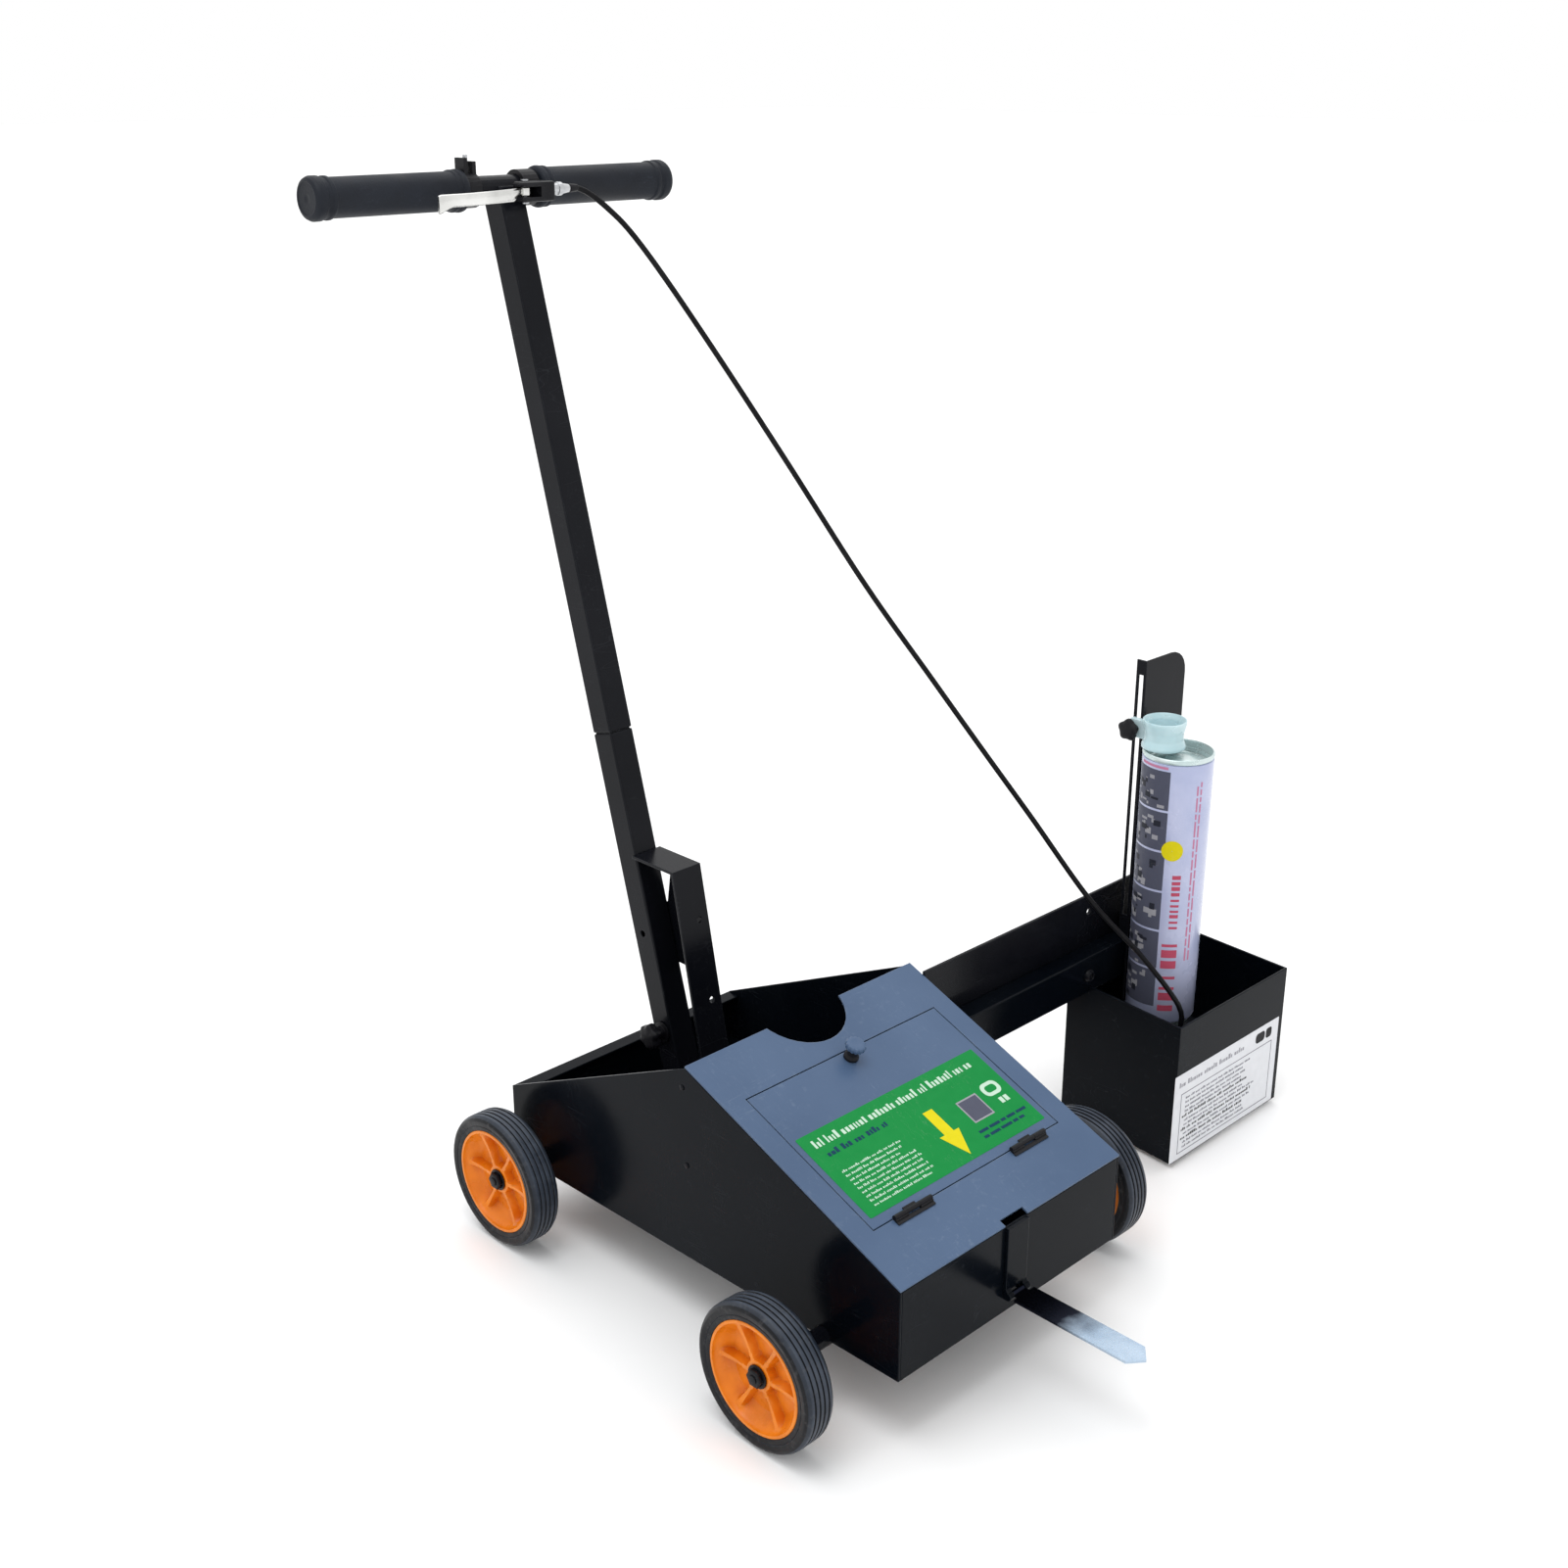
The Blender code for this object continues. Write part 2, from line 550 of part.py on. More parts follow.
def make_wheel(name, y, face_x, side):
    """Tyre, ribbed hub and hub cap. Heights run along the axle, outward from the tyre's inner face."""
    base = side * (face_x - TYRE_WIDTH)
    centre = (base, y, WHEEL_RADIUS)
    frame = frame_at(centre, (side, 0, 0))
    pivot = (side * (face_x - TYRE_WIDTH / 2), y, WHEEL_RADIUS)
    w, r = TYRE_WIDTH, WHEEL_RADIUS
    tyre = [
        (r - TYRE_DEPTH, 0.0015), (r - 0.0045, 0), (r - 0.0010, 0.0025), (r, 0.0065),
        (r, w - 0.0065), (r - 0.0010, w - 0.0025), (r - 0.0045, w), (r - TYRE_DEPTH, w - 0.0015),
    ]
    add_object(f"tyre_{name}", turned(tyre, frame, 32, closed=True), "rubber", pivot, smooth=True)

    hub_in = HUB_INSET_IN
    hub_out = w - HUB_INSET_OUT
    floor_in, floor_out = w * 0.40, w * 0.47
    rim = HUB_RADIUS - GAP
    dish = [
        (HUB_BORE, hub_in), (0.0110, hub_in), (0.0110, floor_in), (rim - 0.0040, floor_in),
        (rim - 0.0032, hub_in), (rim, hub_in), (rim, hub_out), (rim - 0.0032, hub_out),
        (rim - 0.0095, floor_out), (0.0110, floor_out), (0.0110, hub_out - 0.004),
        (HUB_BORE, hub_out - 0.004),
    ]
    hub = add_object(f"hub_{name}", turned(dish, frame, 24, closed=True), "orange_plastic", pivot,
                     smooth=True)
    ribs = []
    for i in range(HUB_RIBS):
        turn = Matrix.Rotation(math.tau * i / HUB_RIBS, 4, "Z")
        rib_outline = [
            (0.0095, floor_in + 0.0006), (rim - 0.0055, floor_in + 0.0006),
            (rim - 0.0050, hub_out - 0.0045), (0.0095, hub_out - 0.0065),
        ]
        ribs.append(prism(rib_outline, -0.0011, 0.0011, along="Y", frame=frame @ turn))
    combine(hub, "UNION", *ribs)

    cap = [(0.0082, hub_out - 0.004 + GAP), (0.0082, hub_out - 0.0012), (0.0070, hub_out)]
    cap_object = add_object(f"hub_cap_{name}", turned(cap, frame, 16), "black_plastic", pivot, smooth=True)
    socket = rod(frame @ Vector((0, 0, hub_in)), frame @ Vector((0, 0, w - 0.006 + GAP)), HUB_BORE, 16)
    combine(cap_object, "DIFFERENCE", socket)


# ---------------------------------------------------------------- side arm and spray guard
ARM_START_X = HALF_WIDTH + GAP + ARM_WEB + GAP
ARM_REAR_Y = ARM_FRONT_Y + ARM_TUBE_DEPTH
ARM_BOLTS = ((-0.034, 0.160), (0.028, 0.160))
ARM_HOLE = (CAN_X - 0.0434, 0.2140)     # x and z
BOLT_RADIUS = 0.003
HEX_RADIUS = 0.0058
HEX_HEIGHT = 0.0042


def arm_bolt_shape(place, extra=0.0, head=True):
    """A hex bolt through the arm's flange and the left panel, or the plain hole for it."""
    flange_out = HALF_WIDTH + GAP + ARM_WEB + GAP
    inside = HALF_WIDTH - SHEET - 0.004
    if not head:
        return rod((inside - 0.01, *place), (flange_out + 0.01, *place), BOLT_RADIUS + extra, 16)
    profile = [
        (BOLT_RADIUS, inside - flange_out), (BOLT_RADIUS, 0), (HEX_RADIUS, 0), (HEX_RADIUS, HEX_HEIGHT),
    ]
    return turned(profile, frame_at((flange_out, *place), (1, 0, 0)), 6)


def make_arm():
    """A bracket bolted to the left panel, with a web behind, and a box tube in front of the web."""
    bracket = add_object("arm_bracket", block(
        (HALF_WIDTH + GAP, ARM_REAR_Y + GAP, ARM_TUBE_LOW_Z),
        (ARM_END_X, ARM_REAR_Y + GAP + ARM_WEB, ARM_WEB_HIGH_Z),
    ), "gloss_black")
    bevel(bracket, 0.0003)
    flange = block((HALF_WIDTH + GAP, -0.044, ARM_TUBE_LOW_Z - 0.012),
                   (HALF_WIDTH + GAP + ARM_WEB, 0.040, 0.199))
    combine(bracket, "UNION", flange)
    cut_with(bracket, *[arm_bolt_shape(place, GAP, False) for place in ARM_BOLTS])
    hole = rod((ARM_HOLE[0], 0, ARM_HOLE[1]), (ARM_HOLE[0], 0.02, ARM_HOLE[1]), 0.0032, 20)
    cut_with(bracket, hole, tube_bolt_shape(GUARD_BOLT, ARM_FRONT_Y, GUARD_BOLT_REACH, GAP, False))
    for name, place in zip(("arm_bolt_front", "arm_bolt_rear"), ARM_BOLTS):
        add_object(name, arm_bolt_shape(place), "steel")

    outer = block((ARM_START_X, ARM_FRONT_Y, ARM_TUBE_LOW_Z), (ARM_END_X, ARM_REAR_Y, ARM_TUBE_HIGH_Z))
    tube = bevel(add_object("arm_tube", outer, "gloss_black"), 0.0012, 2)
    bore = block((ARM_START_X - 0.01, ARM_FRONT_Y + ARM_WALL, ARM_TUBE_LOW_Z + ARM_WALL),
                 (ARM_END_X + 0.01, ARM_REAR_Y - ARM_WALL, ARM_TUBE_HIGH_Z - ARM_WALL))
    cut_with(
        tube, bore, tube_bolt_shape(POST_BOLT, POST_FRONT_Y, POST_BOLT_REACH, GAP, False),
        tube_bolt_shape(GUARD_BOLT, ARM_FRONT_Y, GUARD_BOLT_REACH, GAP, False),
    )
    post_bolt = tube_bolt_shape(POST_BOLT, POST_FRONT_Y, POST_BOLT_REACH)
    guard_bolt = tube_bolt_shape(GUARD_BOLT, ARM_FRONT_Y, GUARD_BOLT_REACH)
    add_object("post_bolt", post_bolt, "gloss_black", smooth=True)
    add_object("guard_bolt", guard_bolt, "gloss_black", smooth=True)


POST_BOLT = (CAN_X + 0.0296, 0.161)     # x and z
GUARD_BOLT = (CAN_X - 0.0664, 0.161)
POST_BOLT_REACH = SHEET + GAP + ARM_WALL + 0.003
GUARD_BOLT_REACH = GUARD_REAR_Y - ARM_FRONT_Y + 0.003


def tube_bolt_shape(place, front, reach, extra=0.0, head=True):
    """A round-headed bolt that enters from the front, or the plain hole for it."""
    x, z = place
    if not head:
        return rod((x, front - 0.01, z), (x, front + reach + 0.002, z), BOLT_RADIUS + extra, 16)
    profile = [
        (BOLT_RADIUS, -reach - GAP), (BOLT_RADIUS, 0), (0.0068, 0), (0.0068, 0.0012),
        (0.0058, 0.0032), (0.0030, 0.0044),
    ]
    return turned(profile, frame_at((x, front - GAP, z), (0, -1, 0)), 16)


def make_guard():
    """The open box round the spray. Its side walls splay a little towards the rear."""
    left, right = GUARD_FRONT_X
    rear_left, rear_right = left + GUARD_SPLAY[0], right + GUARD_SPLAY[1]
    outer = [(left, GUARD_FRONT_Y), (right, GUARD_FRONT_Y), (rear_right, GUARD_REAR_Y),
             (rear_left, GUARD_REAR_Y)]
    t = SHEET
    inner = [(left + t, GUARD_FRONT_Y + t), (right - t, GUARD_FRONT_Y + t),
             (rear_right - t, GUARD_REAR_Y - t), (rear_left + t, GUARD_REAR_Y - t)]
    shell = prism(outer, GUARD_LOW_Z, GUARD_HIGH_Z, along="Z")
    guard = add_object("spray_guard", shell, "gloss_black")
    cavity = prism(inner, GUARD_LOW_Z - 0.01, GUARD_HIGH_Z + 0.01, along="Z")
    passage = block((left - 0.01, ARM_FRONT_Y - GAP, ARM_TUBE_LOW_Z - GAP),
                    (rear_left + 0.02, GUARD_REAR_Y - SHEET, GUARD_HIGH_Z + 0.01))
    combine(guard, "DIFFERENCE", cavity, passage)
    tab = block((GUARD_BOLT[0] - 0.012, GUARD_REAR_Y - SHEET, GUARD_HIGH_Z - 0.012),
                (GUARD_BOLT[0] + 0.024, GUARD_REAR_Y, GUARD_BOLT[1] + 0.012))
    combine(guard, "UNION", tab)
    cut_with(guard, tube_bolt_shape(GUARD_BOLT, ARM_FRONT_Y, GUARD_BOLT_REACH, GAP, False))


# ---------------------------------------------------------------- can, post and actuator
def make_post():
    low = (POST_X, POST_LOW_Z)
    high = (POST_X + POST_WIDTH, POST_HIGH_Z)
    plate = prism(rounded_outline(low, high, 0.022), POST_FRONT_Y, POST_FRONT_Y + SHEET, along="Y")
    post = add_object("can_post", plate, "gloss_black")
    flange = block((POST_X, POST_FRONT_Y, ARM_TUBE_HIGH_Z + GAP),
                   (POST_X + SHEET, POST_FRONT_Y + POST_DEPTH, POST_HIGH_Z))
    combine(post, "UNION", flange)
    half = SLOT_WIDTH / 2
    slot_start = (POST_X - 0.01, SLOT_Y - half, SLOT_LOW_Z)
    slot_end = (POST_X + SHEET + 0.001, SLOT_Y + half, SLOT_HIGH_Z)
    slot = block(slot_start, slot_end)
    cut_with(post, slot, tube_bolt_shape(POST_BOLT, POST_FRONT_Y, POST_BOLT_REACH, GAP, False))


ACTUATOR_Y = POST_FRONT_Y - 0.0117
ACTUATOR_Z = SHELF_Z - 0.0185
LEVER_HALF = 0.010
EAR = 0.002


def make_shelf():
    """The plate that carries the can by its shoulder, with ears and a pin for the actuator."""
    back = POST_FRONT_Y - GAP
    low = (CABLE_STOP[0] - 0.007, CABLE_STOP[1] - 0.006, SHELF_Z)
    high = (CAN_X + 0.045, back, SHELF_Z + SHELF_THICKNESS)
    shelf = add_object("can_shelf", block(low, high), "gloss_black")
    bevel(shelf, 0.0003)
    ears = []
    for side in (-1, 1):
        inner = CAN_X + side * (LEVER_HALF + GAP)
        outer = inner + side * EAR
        ears.append(block((min(inner, outer), ACTUATOR_Y - 0.005, ACTUATOR_Z - 0.005),
                          (max(inner, outer), ACTUATOR_Y + 0.005, SHELF_Z + 0.001)))
    reach = LEVER_HALF + GAP + EAR / 2
    pin = rod((CAN_X - reach, ACTUATOR_Y, ACTUATOR_Z), (CAN_X + reach, ACTUATOR_Y, ACTUATOR_Z), 0.0014, 16)
    combine(shelf, "UNION", *ears, pin)
    for place, radius in (((CAN_X, CAN_Y), CAN_NECK_RADIUS + 0.001), (CABLE_STOP, 0.0014)):
        cut_with(shelf, rod((*place, SHELF_Z - 0.01), (*place, SHELF_Z + 0.01), radius, 20))


def make_actuator():
    """A rocker under the nozzle. The cable lifts its front end, which presses the nozzle up."""
    pivot = (CAN_X, ACTUATOR_Y, ACTUATOR_Z)
    top = ACTUATOR_Z + 0.0015
    plate = block((CAN_X - LEVER_HALF, CABLE_STOP[1] + 0.002, top - 0.002),
                  (CAN_X + LEVER_HALF, ACTUATOR_Y, top))
    lever = add_object("actuator_lever", plate, "steel", pivot)
    toe = block((CABLE_STOP[0] - 0.005, CABLE_STOP[1] - 0.005, top - 0.002),
                (CAN_X + LEVER_HALF, CABLE_STOP[1] + 0.006, top))
    barrel = rod((CAN_X - LEVER_HALF, ACTUATOR_Y, ACTUATOR_Z), (CAN_X + LEVER_HALF, ACTUATOR_Y, ACTUATOR_Z),
                 0.0032, 16)
    combine(lever, "UNION", toe, barrel)
    x, y = CABLE_STOP
    pin_hole = rod((CAN_X - 0.02, ACTUATOR_Y, ACTUATOR_Z), (CAN_X + 0.02, ACTUATOR_Y, ACTUATOR_Z),
                   0.0014 + GAP, 16)
    wire_slot = block((x - 0.0014, y - 0.0022, top - 0.01), (x + 0.0014, y + 0.0022, top + 0.01))
    cut_with(lever, pin_hole, wire_slot)
    nipple = top - 0.002 - GAP
    wire_profile = [
        (0.0026, nipple - 0.0032), (0.0030, nipple - 0.0026), (0.0030, nipple), (0.0008, nipple),
        (0.0008, SHELF_Z + SHELF_THICKNESS + 0.009),
    ]
    wire = turned(wire_profile, frame_at((x, y, 0)), 12)
    add_object("pull_wire", wire, "steel", (x, y, nipple), smooth=True)


VALVE_Z = SHELF_Z - 0.0050
NOZZLE_TRAVEL = 0.0022


def make_can():
    """The upturned can, hollow and open through its valve, into which the nozzle's stem slides."""
    r = CAN_RADIUS
    w = CAN_WALL
    top = CAN_HIGH_Z
    neck_z = SHELF_Z + SHELF_THICKNESS + 0.0006
    profile = [
        (0, top - 0.007), (0.017, top - 0.009), (r - 0.0045, top - 0.0125), (r - 0.0015, top - 0.001),
        (r, top), (r - 0.0004, top - 0.0038), (r, top - 0.0052), (r, CAN_SHOULDER_Z),
        (r - 0.003, CAN_SHOULDER_Z - 0.005), (0.024, CAN_SHOULDER_Z - 0.013),
        (CAN_NECK_RADIUS + 0.0025, neck_z + 0.0035), (CAN_NECK_RADIUS + 0.0020, neck_z),
        (CAN_NECK_RADIUS, neck_z - 0.001), (CAN_NECK_RADIUS, SHELF_Z - 0.001), (0.0048, SHELF_Z - 0.002),
        (0.0048, VALVE_Z), (0.0023, VALVE_Z), (0.0023, SHELF_Z), (CAN_NECK_RADIUS - w, SHELF_Z + 0.0015),
        (CAN_NECK_RADIUS - w, neck_z + 0.002), (r - 0.003 - w, CAN_SHOULDER_Z - 0.003),
        (r - w, CAN_SHOULDER_Z + 0.002), (r - w, top - 0.016), (r - 0.0045 - w, top - 0.0125 - w),
        (0.017, top - 0.009 - w), (0, top - 0.007 - w),
    ]
    add_object("spray_can", turned(profile, frame_at((CAN_X, CAN_Y, 0)), 32), "can_paint", smooth=True)
    nozzle_top = VALVE_Z - NOZZLE_TRAVEL
    nozzle_low = ACTUATOR_Z + 0.0015 + GAP
    nozzle = [
        (0.0030, nozzle_low), (0.0068, nozzle_low + 0.002), (0.0068, nozzle_top), (0.0019, nozzle_top),
        (0.0019, VALVE_Z + 0.0030),
    ]
    add_object("spray_nozzle", turned(nozzle, frame_at((CAN_X, CAN_Y, 0)), 16), "white_plastic",
               (CAN_X, CAN_Y, nozzle_low), smooth=True)


def make_clamp():
    """The pad that presses on the upturned can, its lug, and the knob whose stud runs in the slot."""
    base = CAN_HIGH_Z + GAP
    profile = [
        (0, base), (PAD_RADIUS + 0.0005, base), (PAD_RADIUS + 0.0008, base + 0.003),
        (PAD_RADIUS - 0.0016, base + 0.009), (PAD_RADIUS - 0.0012, base + PAD_HEIGHT * 0.55),
        (PAD_RADIUS + 0.0008, base + PAD_HEIGHT - 0.003), (PAD_RADIUS + 0.0008, base + PAD_HEIGHT),
        (PAD_RADIUS - 0.0018, base + PAD_HEIGHT), (PAD_RADIUS - 0.0034, base + PAD_HEIGHT - 0.009),
        (0, base + PAD_HEIGHT - 0.010),
    ]
    pivot = (POST_X, SLOT_Y, CLAMP_Z)
    cup = turned(profile, frame_at((PAD_X, PAD_Y, 0)), 20)
    pad = add_object("can_pad", cup, "white_plastic", pivot, smooth=True)
    lug_outer = POST_X - GAP - 0.006
    lug = block((lug_outer, PAD_Y + 0.006, CLAMP_Z - 0.009),
                (POST_X - GAP, POST_FRONT_Y + POST_DEPTH - 0.001, CLAMP_Z + 0.009))
    combine(pad, "UNION", lug)
    start, end = (lug_outer - 0.02, SLOT_Y, CLAMP_Z), (POST_X + 0.02, SLOT_Y, CLAMP_Z)
    cut_with(pad, rod(start, end, 0.0024 + GAP, 16))
    stud = [
        (0.0024, -(SHEET + 0.007)), (0.0024, POST_X - lug_outer + GAP),
        (0.0050, POST_X - lug_outer + GAP), (0.0050, POST_X - lug_outer + 0.0035),
        (0.0095, POST_X - lug_outer + 0.0050), (0.0105, POST_X - lug_outer + 0.0080),
        (0.0095, POST_X - lug_outer + 0.0110), (0.0040, POST_X - lug_outer + 0.0125),
    ]
    frame = frame_at((POST_X, SLOT_Y, CLAMP_Z), (-1, 0, 0))
    add_object("clamp_knob", turned(stud, frame, 18), "black_plastic", pivot, smooth=True)


# ---------------------------------------------------------------- handle
def column_point(z):
    """The middle of the handle column at a height."""
    return Vector((0, BAR_Y + (z - BAR_Z) * math.tan(COLUMN_LEAN), z))


def square_tube(name, z_low, z_high, size, wall, look="gloss_black"):
    start, end = column_point(z_low), column_point(z_high)
    frame = Matrix.Translation(start) @ Matrix.Rotation(-COLUMN_LEAN, 4, "X")
    length = (end - start).length
    half = size / 2
    tube = add_object(name, block((-half, -half, 0), (half, half, length), frame), look)
    bevel(tube, 0.0016, 2)
    inner = half - wall
    return combine(tube, "DIFFERENCE", block((-inner, -inner, -0.01), (inner, inner, length + 0.01), frame))


def make_column():
    """A lower tube that stands on the floor, and an upper one whose reduced end plugs into it."""
    base = column_point(FLOOR_TOP_Z)
    low, joint = FLOOR_TOP_Z - 0.02, COLUMN_JOINT_Z
    lower = square_tube("column_lower", low, joint - 0.0004, COLUMN_SIZE, COLUMN_WALL)
    below = block((-0.05, base.y - 0.1, FLOOR_TOP_Z - 0.1), (0.05, base.y + 0.1, FLOOR_TOP_Z + GAP))
    cut_with(lower, below)
    upper = square_tube("column_upper", joint + 0.0004, BAR_Z, COLUMN_SIZE, COLUMN_WALL)
    start = column_point(COLUMN_JOINT_Z - 0.045)
    frame = Matrix.Translation(start) @ Matrix.Rotation(-COLUMN_LEAN, 4, "X")
    outer = COLUMN_SIZE / 2 - COLUMN_WALL - GAP
    inner = outer - COLUMN_WALL
    middle = (COLUMN_SIZE - COLUMN_WALL) / 2
    collar = block((-middle, -middle, 0.050), (middle, middle, 0.058), frame)
    combine(upper, "UNION", block((-outer, -outer, 0), (outer, outer, 0.056), frame), collar)
    cut_with(upper, block((-inner, -inner, -0.01), (inner, inner, 0.09), frame),
             rod((-0.05, BAR_Y, BAR_Z), (0.05, BAR_Y, BAR_Z), BAR_RADIUS + GAP, 24))


BRACKET_HOLES = (0.201, 0.2735)


def bracket_y(z):
    """The bracket web's front face at a height."""
    share = (z - FLOOR_TOP_Z) / (BRACKET_TOP_Z - FLOOR_TOP_Z)
    return BRACKET_FOOT_Y + (BRACKET_TOP_Y - BRACKET_FOOT_Y) * share


def make_bracket():
    """A bent bracket in front of the column: web, one flange beside the column, and a top plate."""
    foot = FLOOR_TOP_Z + GAP
    thick = BRACKET_SHEET
    web_outline = [
        (bracket_y(foot), foot), (bracket_y(foot) + thick, foot),
        (BRACKET_TOP_Y + thick, BRACKET_TOP_Z), (BRACKET_TOP_Y, BRACKET_TOP_Z),
    ]
    flange_x = COLUMN_SIZE / 2 + GAP
    left = flange_x + thick
    bracket = add_object("handle_bracket", prism(web_outline, -BRACKET_HALF, left), "gloss_black")
    low = BRACKET_FLANGE_LOW_Z
    top = BRACKET_TOP_Z - 0.0005
    reach = column_point(low + 0.03).y + COLUMN_SIZE / 2
    flange_outline = [
        (bracket_y(low) + thick / 2, low), (reach - 0.006, low), (reach, low + 0.042),
        (column_point(low + 0.055).y - COLUMN_SIZE / 2, low + 0.056),
        (BRACKET_TOP_Y + 0.0345, top), (BRACKET_TOP_Y + thick / 2, top),
    ]
    plate_back = column_point(BRACKET_TOP_Z).y - COLUMN_SIZE / 2 / math.cos(COLUMN_LEAN) - 0.0012
    plate_front = (-BRACKET_HALF, BRACKET_TOP_Y + thick / 2, BRACKET_TOP_Z - thick)
    plate = block(plate_front, (left, plate_back, BRACKET_TOP_Z))
    toe = block((-BRACKET_HALF, BRACKET_FOOT_Y - 0.020, foot), (left, BRACKET_FOOT_Y + 0.002, foot + thick))
    combine(bracket, "UNION", prism(flange_outline, flange_x, left), plate, toe)
    for z in BRACKET_HOLES:
        y = bracket_y(z)
        cut_with(bracket, rod((0.005, y - 0.01, z), (0.005, y + 0.01, z), 0.0028, 20))
    bolt_z = low + 0.030
    bolt_y = column_point(bolt_z).y
    radius = BOLT_RADIUS + GAP
    middle, outside = (0, bolt_y, bolt_z), (0.03, bolt_y, bolt_z)
    cut_with(bracket, rod(middle, outside, radius, 16))
    cut_with(bpy.data.objects["column_lower"], rod((-0.03, bolt_y, bolt_z), outside, radius, 16))
    head = left + GAP
    reach = head + COLUMN_SIZE / 2 + 0.003
    profile = [(BOLT_RADIUS, -reach), (BOLT_RADIUS, 0), (HEX_RADIUS, 0), (HEX_RADIUS, HEX_HEIGHT)]
    add_object("column_bolt", turned(profile, frame_at((head, bolt_y, bolt_z), (1, 0, 0)), 6), "steel")


def make_foot_bolt():
    """The large knob on the right of the column's foot."""
    z = 0.158
    y = column_point(z).y
    cut_with(bpy.data.objects["column_lower"], rod((-0.03, y, z), (0.0, y, z), 0.004 + GAP, 16))
    profile = [
        (0.004, -0.006), (0.004, 0), (0.0095, 0), (0.0095, 0.0016), (0.0062, 0.0018), (0.0062, 0.0085),
        (0.0115, 0.0100), (0.0120, 0.0165), (0.0100, 0.0195),
    ]
    frame = frame_at((-COLUMN_SIZE / 2 - GAP, y, z), (-1, 0, 0))
    add_object("foot_bolt", turned(profile, frame, 18), "black_plastic", smooth=True)


def make_handlebar():
    low, high = BAR_ENDS
    bar = pipe((low, BAR_Y, BAR_Z), (high, BAR_Y, BAR_Z), BAR_RADIUS, BAR_RADIUS - 0.0015, 24)
    add_object("handlebar", bar, "gloss_black", smooth=True)
    r, length = GRIP_RADIUS, GRIP_LENGTH
    profile = [
        (r - 0.003, 0), (r, 0.003), (r, 0.007), (r - 0.0012, 0.0085), (r - 0.0012, length - 0.0085),
        (r, length - 0.007), (r, length - 0.003), (r - 0.002, length),
    ]
    for name, side, bar_end in (("grip_right", -1, low), ("grip_left", 1, high)):
        inner = bar_end + side * (GRIP_OVERRUN - GRIP_LENGTH)
        shape = turned(profile, frame_at((inner, BAR_Y, BAR_Z), (side, 0, 0)), 24)
        grip = add_object(name, shape, "foam", smooth=True)
        start, end = (inner - side * 0.01, BAR_Y, BAR_Z), (bar_end + side * GAP, BAR_Y, BAR_Z)
        cut_with(grip, rod(start, end, BAR_RADIUS + GAP, 24))


# ---------------------------------------------------------------- brake lever and cable
LEVER_AXIS = (*LEVER_PIVOT, LEVER_Z)
HOUSING_END_X = COLUMN_SIZE / 2 + 0.0185
ADJUSTER_X = HOUSING_END_X + GAP
ADJUSTER_Y = LEVER_PIVOT[1] - 0.002
CABLE_END_Z = SHELF_Z + SHELF_THICKNESS + FERRULE_HEIGHT + GAP + CABLE_GAP


def make_lever_housing():
    clear = COLUMN_SIZE / 2 + 0.0008
    back = BAR_Y - COLUMN_SIZE / 2 - 0.004
    front = back - 0.017
    body = block((-0.002, front, LEVER_Z - 0.0082), (HOUSING_END_X, back, LEVER_Z + 0.0082))
    housing = add_object("lever_housing", body, "black_plastic")
    bevel(housing, 0.0022, 2)
    rear = block((clear, back - 0.006, LEVER_Z - 0.0070), (clear + 0.016, back + 0.006, LEVER_Z + 0.0070))
    ring = rod((clear, BAR_Y, BAR_Z), (clear + 0.016, BAR_Y, BAR_Z), BAR_RADIUS + 0.004, 24)
    combine(housing, "UNION", rear, ring)
    slot = block((-0.02, front - 0.01, LEVER_Z - 0.0042), (0.016, back - 0.002, LEVER_Z + 0.0042))
    cut_with(housing, rod((-0.05, BAR_Y, BAR_Z), (0.05, BAR_Y, BAR_Z), BAR_RADIUS + GAP, 24), slot)
    x, y = LEVER_PIVOT
    pin = [(0.0032, -0.0098), (0.0032, -0.0085), (0.0018, -0.0085), (0.0018, 0.0085), (0.0032, 0.0085),
           (0.0032, 0.0098)]
    cut_with(housing, rod((x, y, LEVER_Z - 0.02), (x, y, LEVER_Z + 0.02), 0.0018 + GAP, 16))
    add_object("lever_pin", turned(pin, frame_at((x, y, LEVER_Z)), 16), "steel", smooth=True)


def make_brake_lever():
    """The blade's outline is in plan: a boss at the pin, then a gentle bow to the tip."""
    px, py = LEVER_PIVOT
    boss = rod((px, py, LEVER_Z - 0.0038), (px, py, LEVER_Z + 0.0038), 0.0048, 20)
    lever = add_object("brake_lever", boss, "steel", LEVER_AXIS)
    outer, inner = [], []
    steps = 8
    for i in range(steps + 1):
        share = i / steps
        x = px - 0.001 - LEVER_LENGTH * share
        y = py - 0.0015 - LEVER_BOW * math.sin(math.pi * share * 0.58)
        outer.append((x, y - 0.0017))
        inner.append((x, y + 0.0017))
    blade = prism(outer + inner[::-1], LEVER_Z - 0.0075, LEVER_Z + 0.0038, along="Z")
    # The blade is full height only beyond the housing's slot, and narrows towards its tip.
    relief = block((px - 0.0085, py - 0.03, LEVER_Z - 0.02), (px + 0.02, py + 0.02, LEVER_Z - 0.0038))
    tip_x, tip_y = outer[-1][0], (outer[-1][1] + inner[-1][1]) / 2
    tip_x += 0.001
    tip = rod((tip_x, tip_y, LEVER_Z - 0.0135), (tip_x, tip_y, LEVER_Z + 0.0030), 0.0032, 16)
    combine(lever, "UNION", blade, tip)
    pin_hole = rod((px, py, LEVER_Z - 0.02), (px, py, LEVER_Z + 0.02), 0.0018 + GAP, 16)
    cut_with(lever, relief, pin_hole)


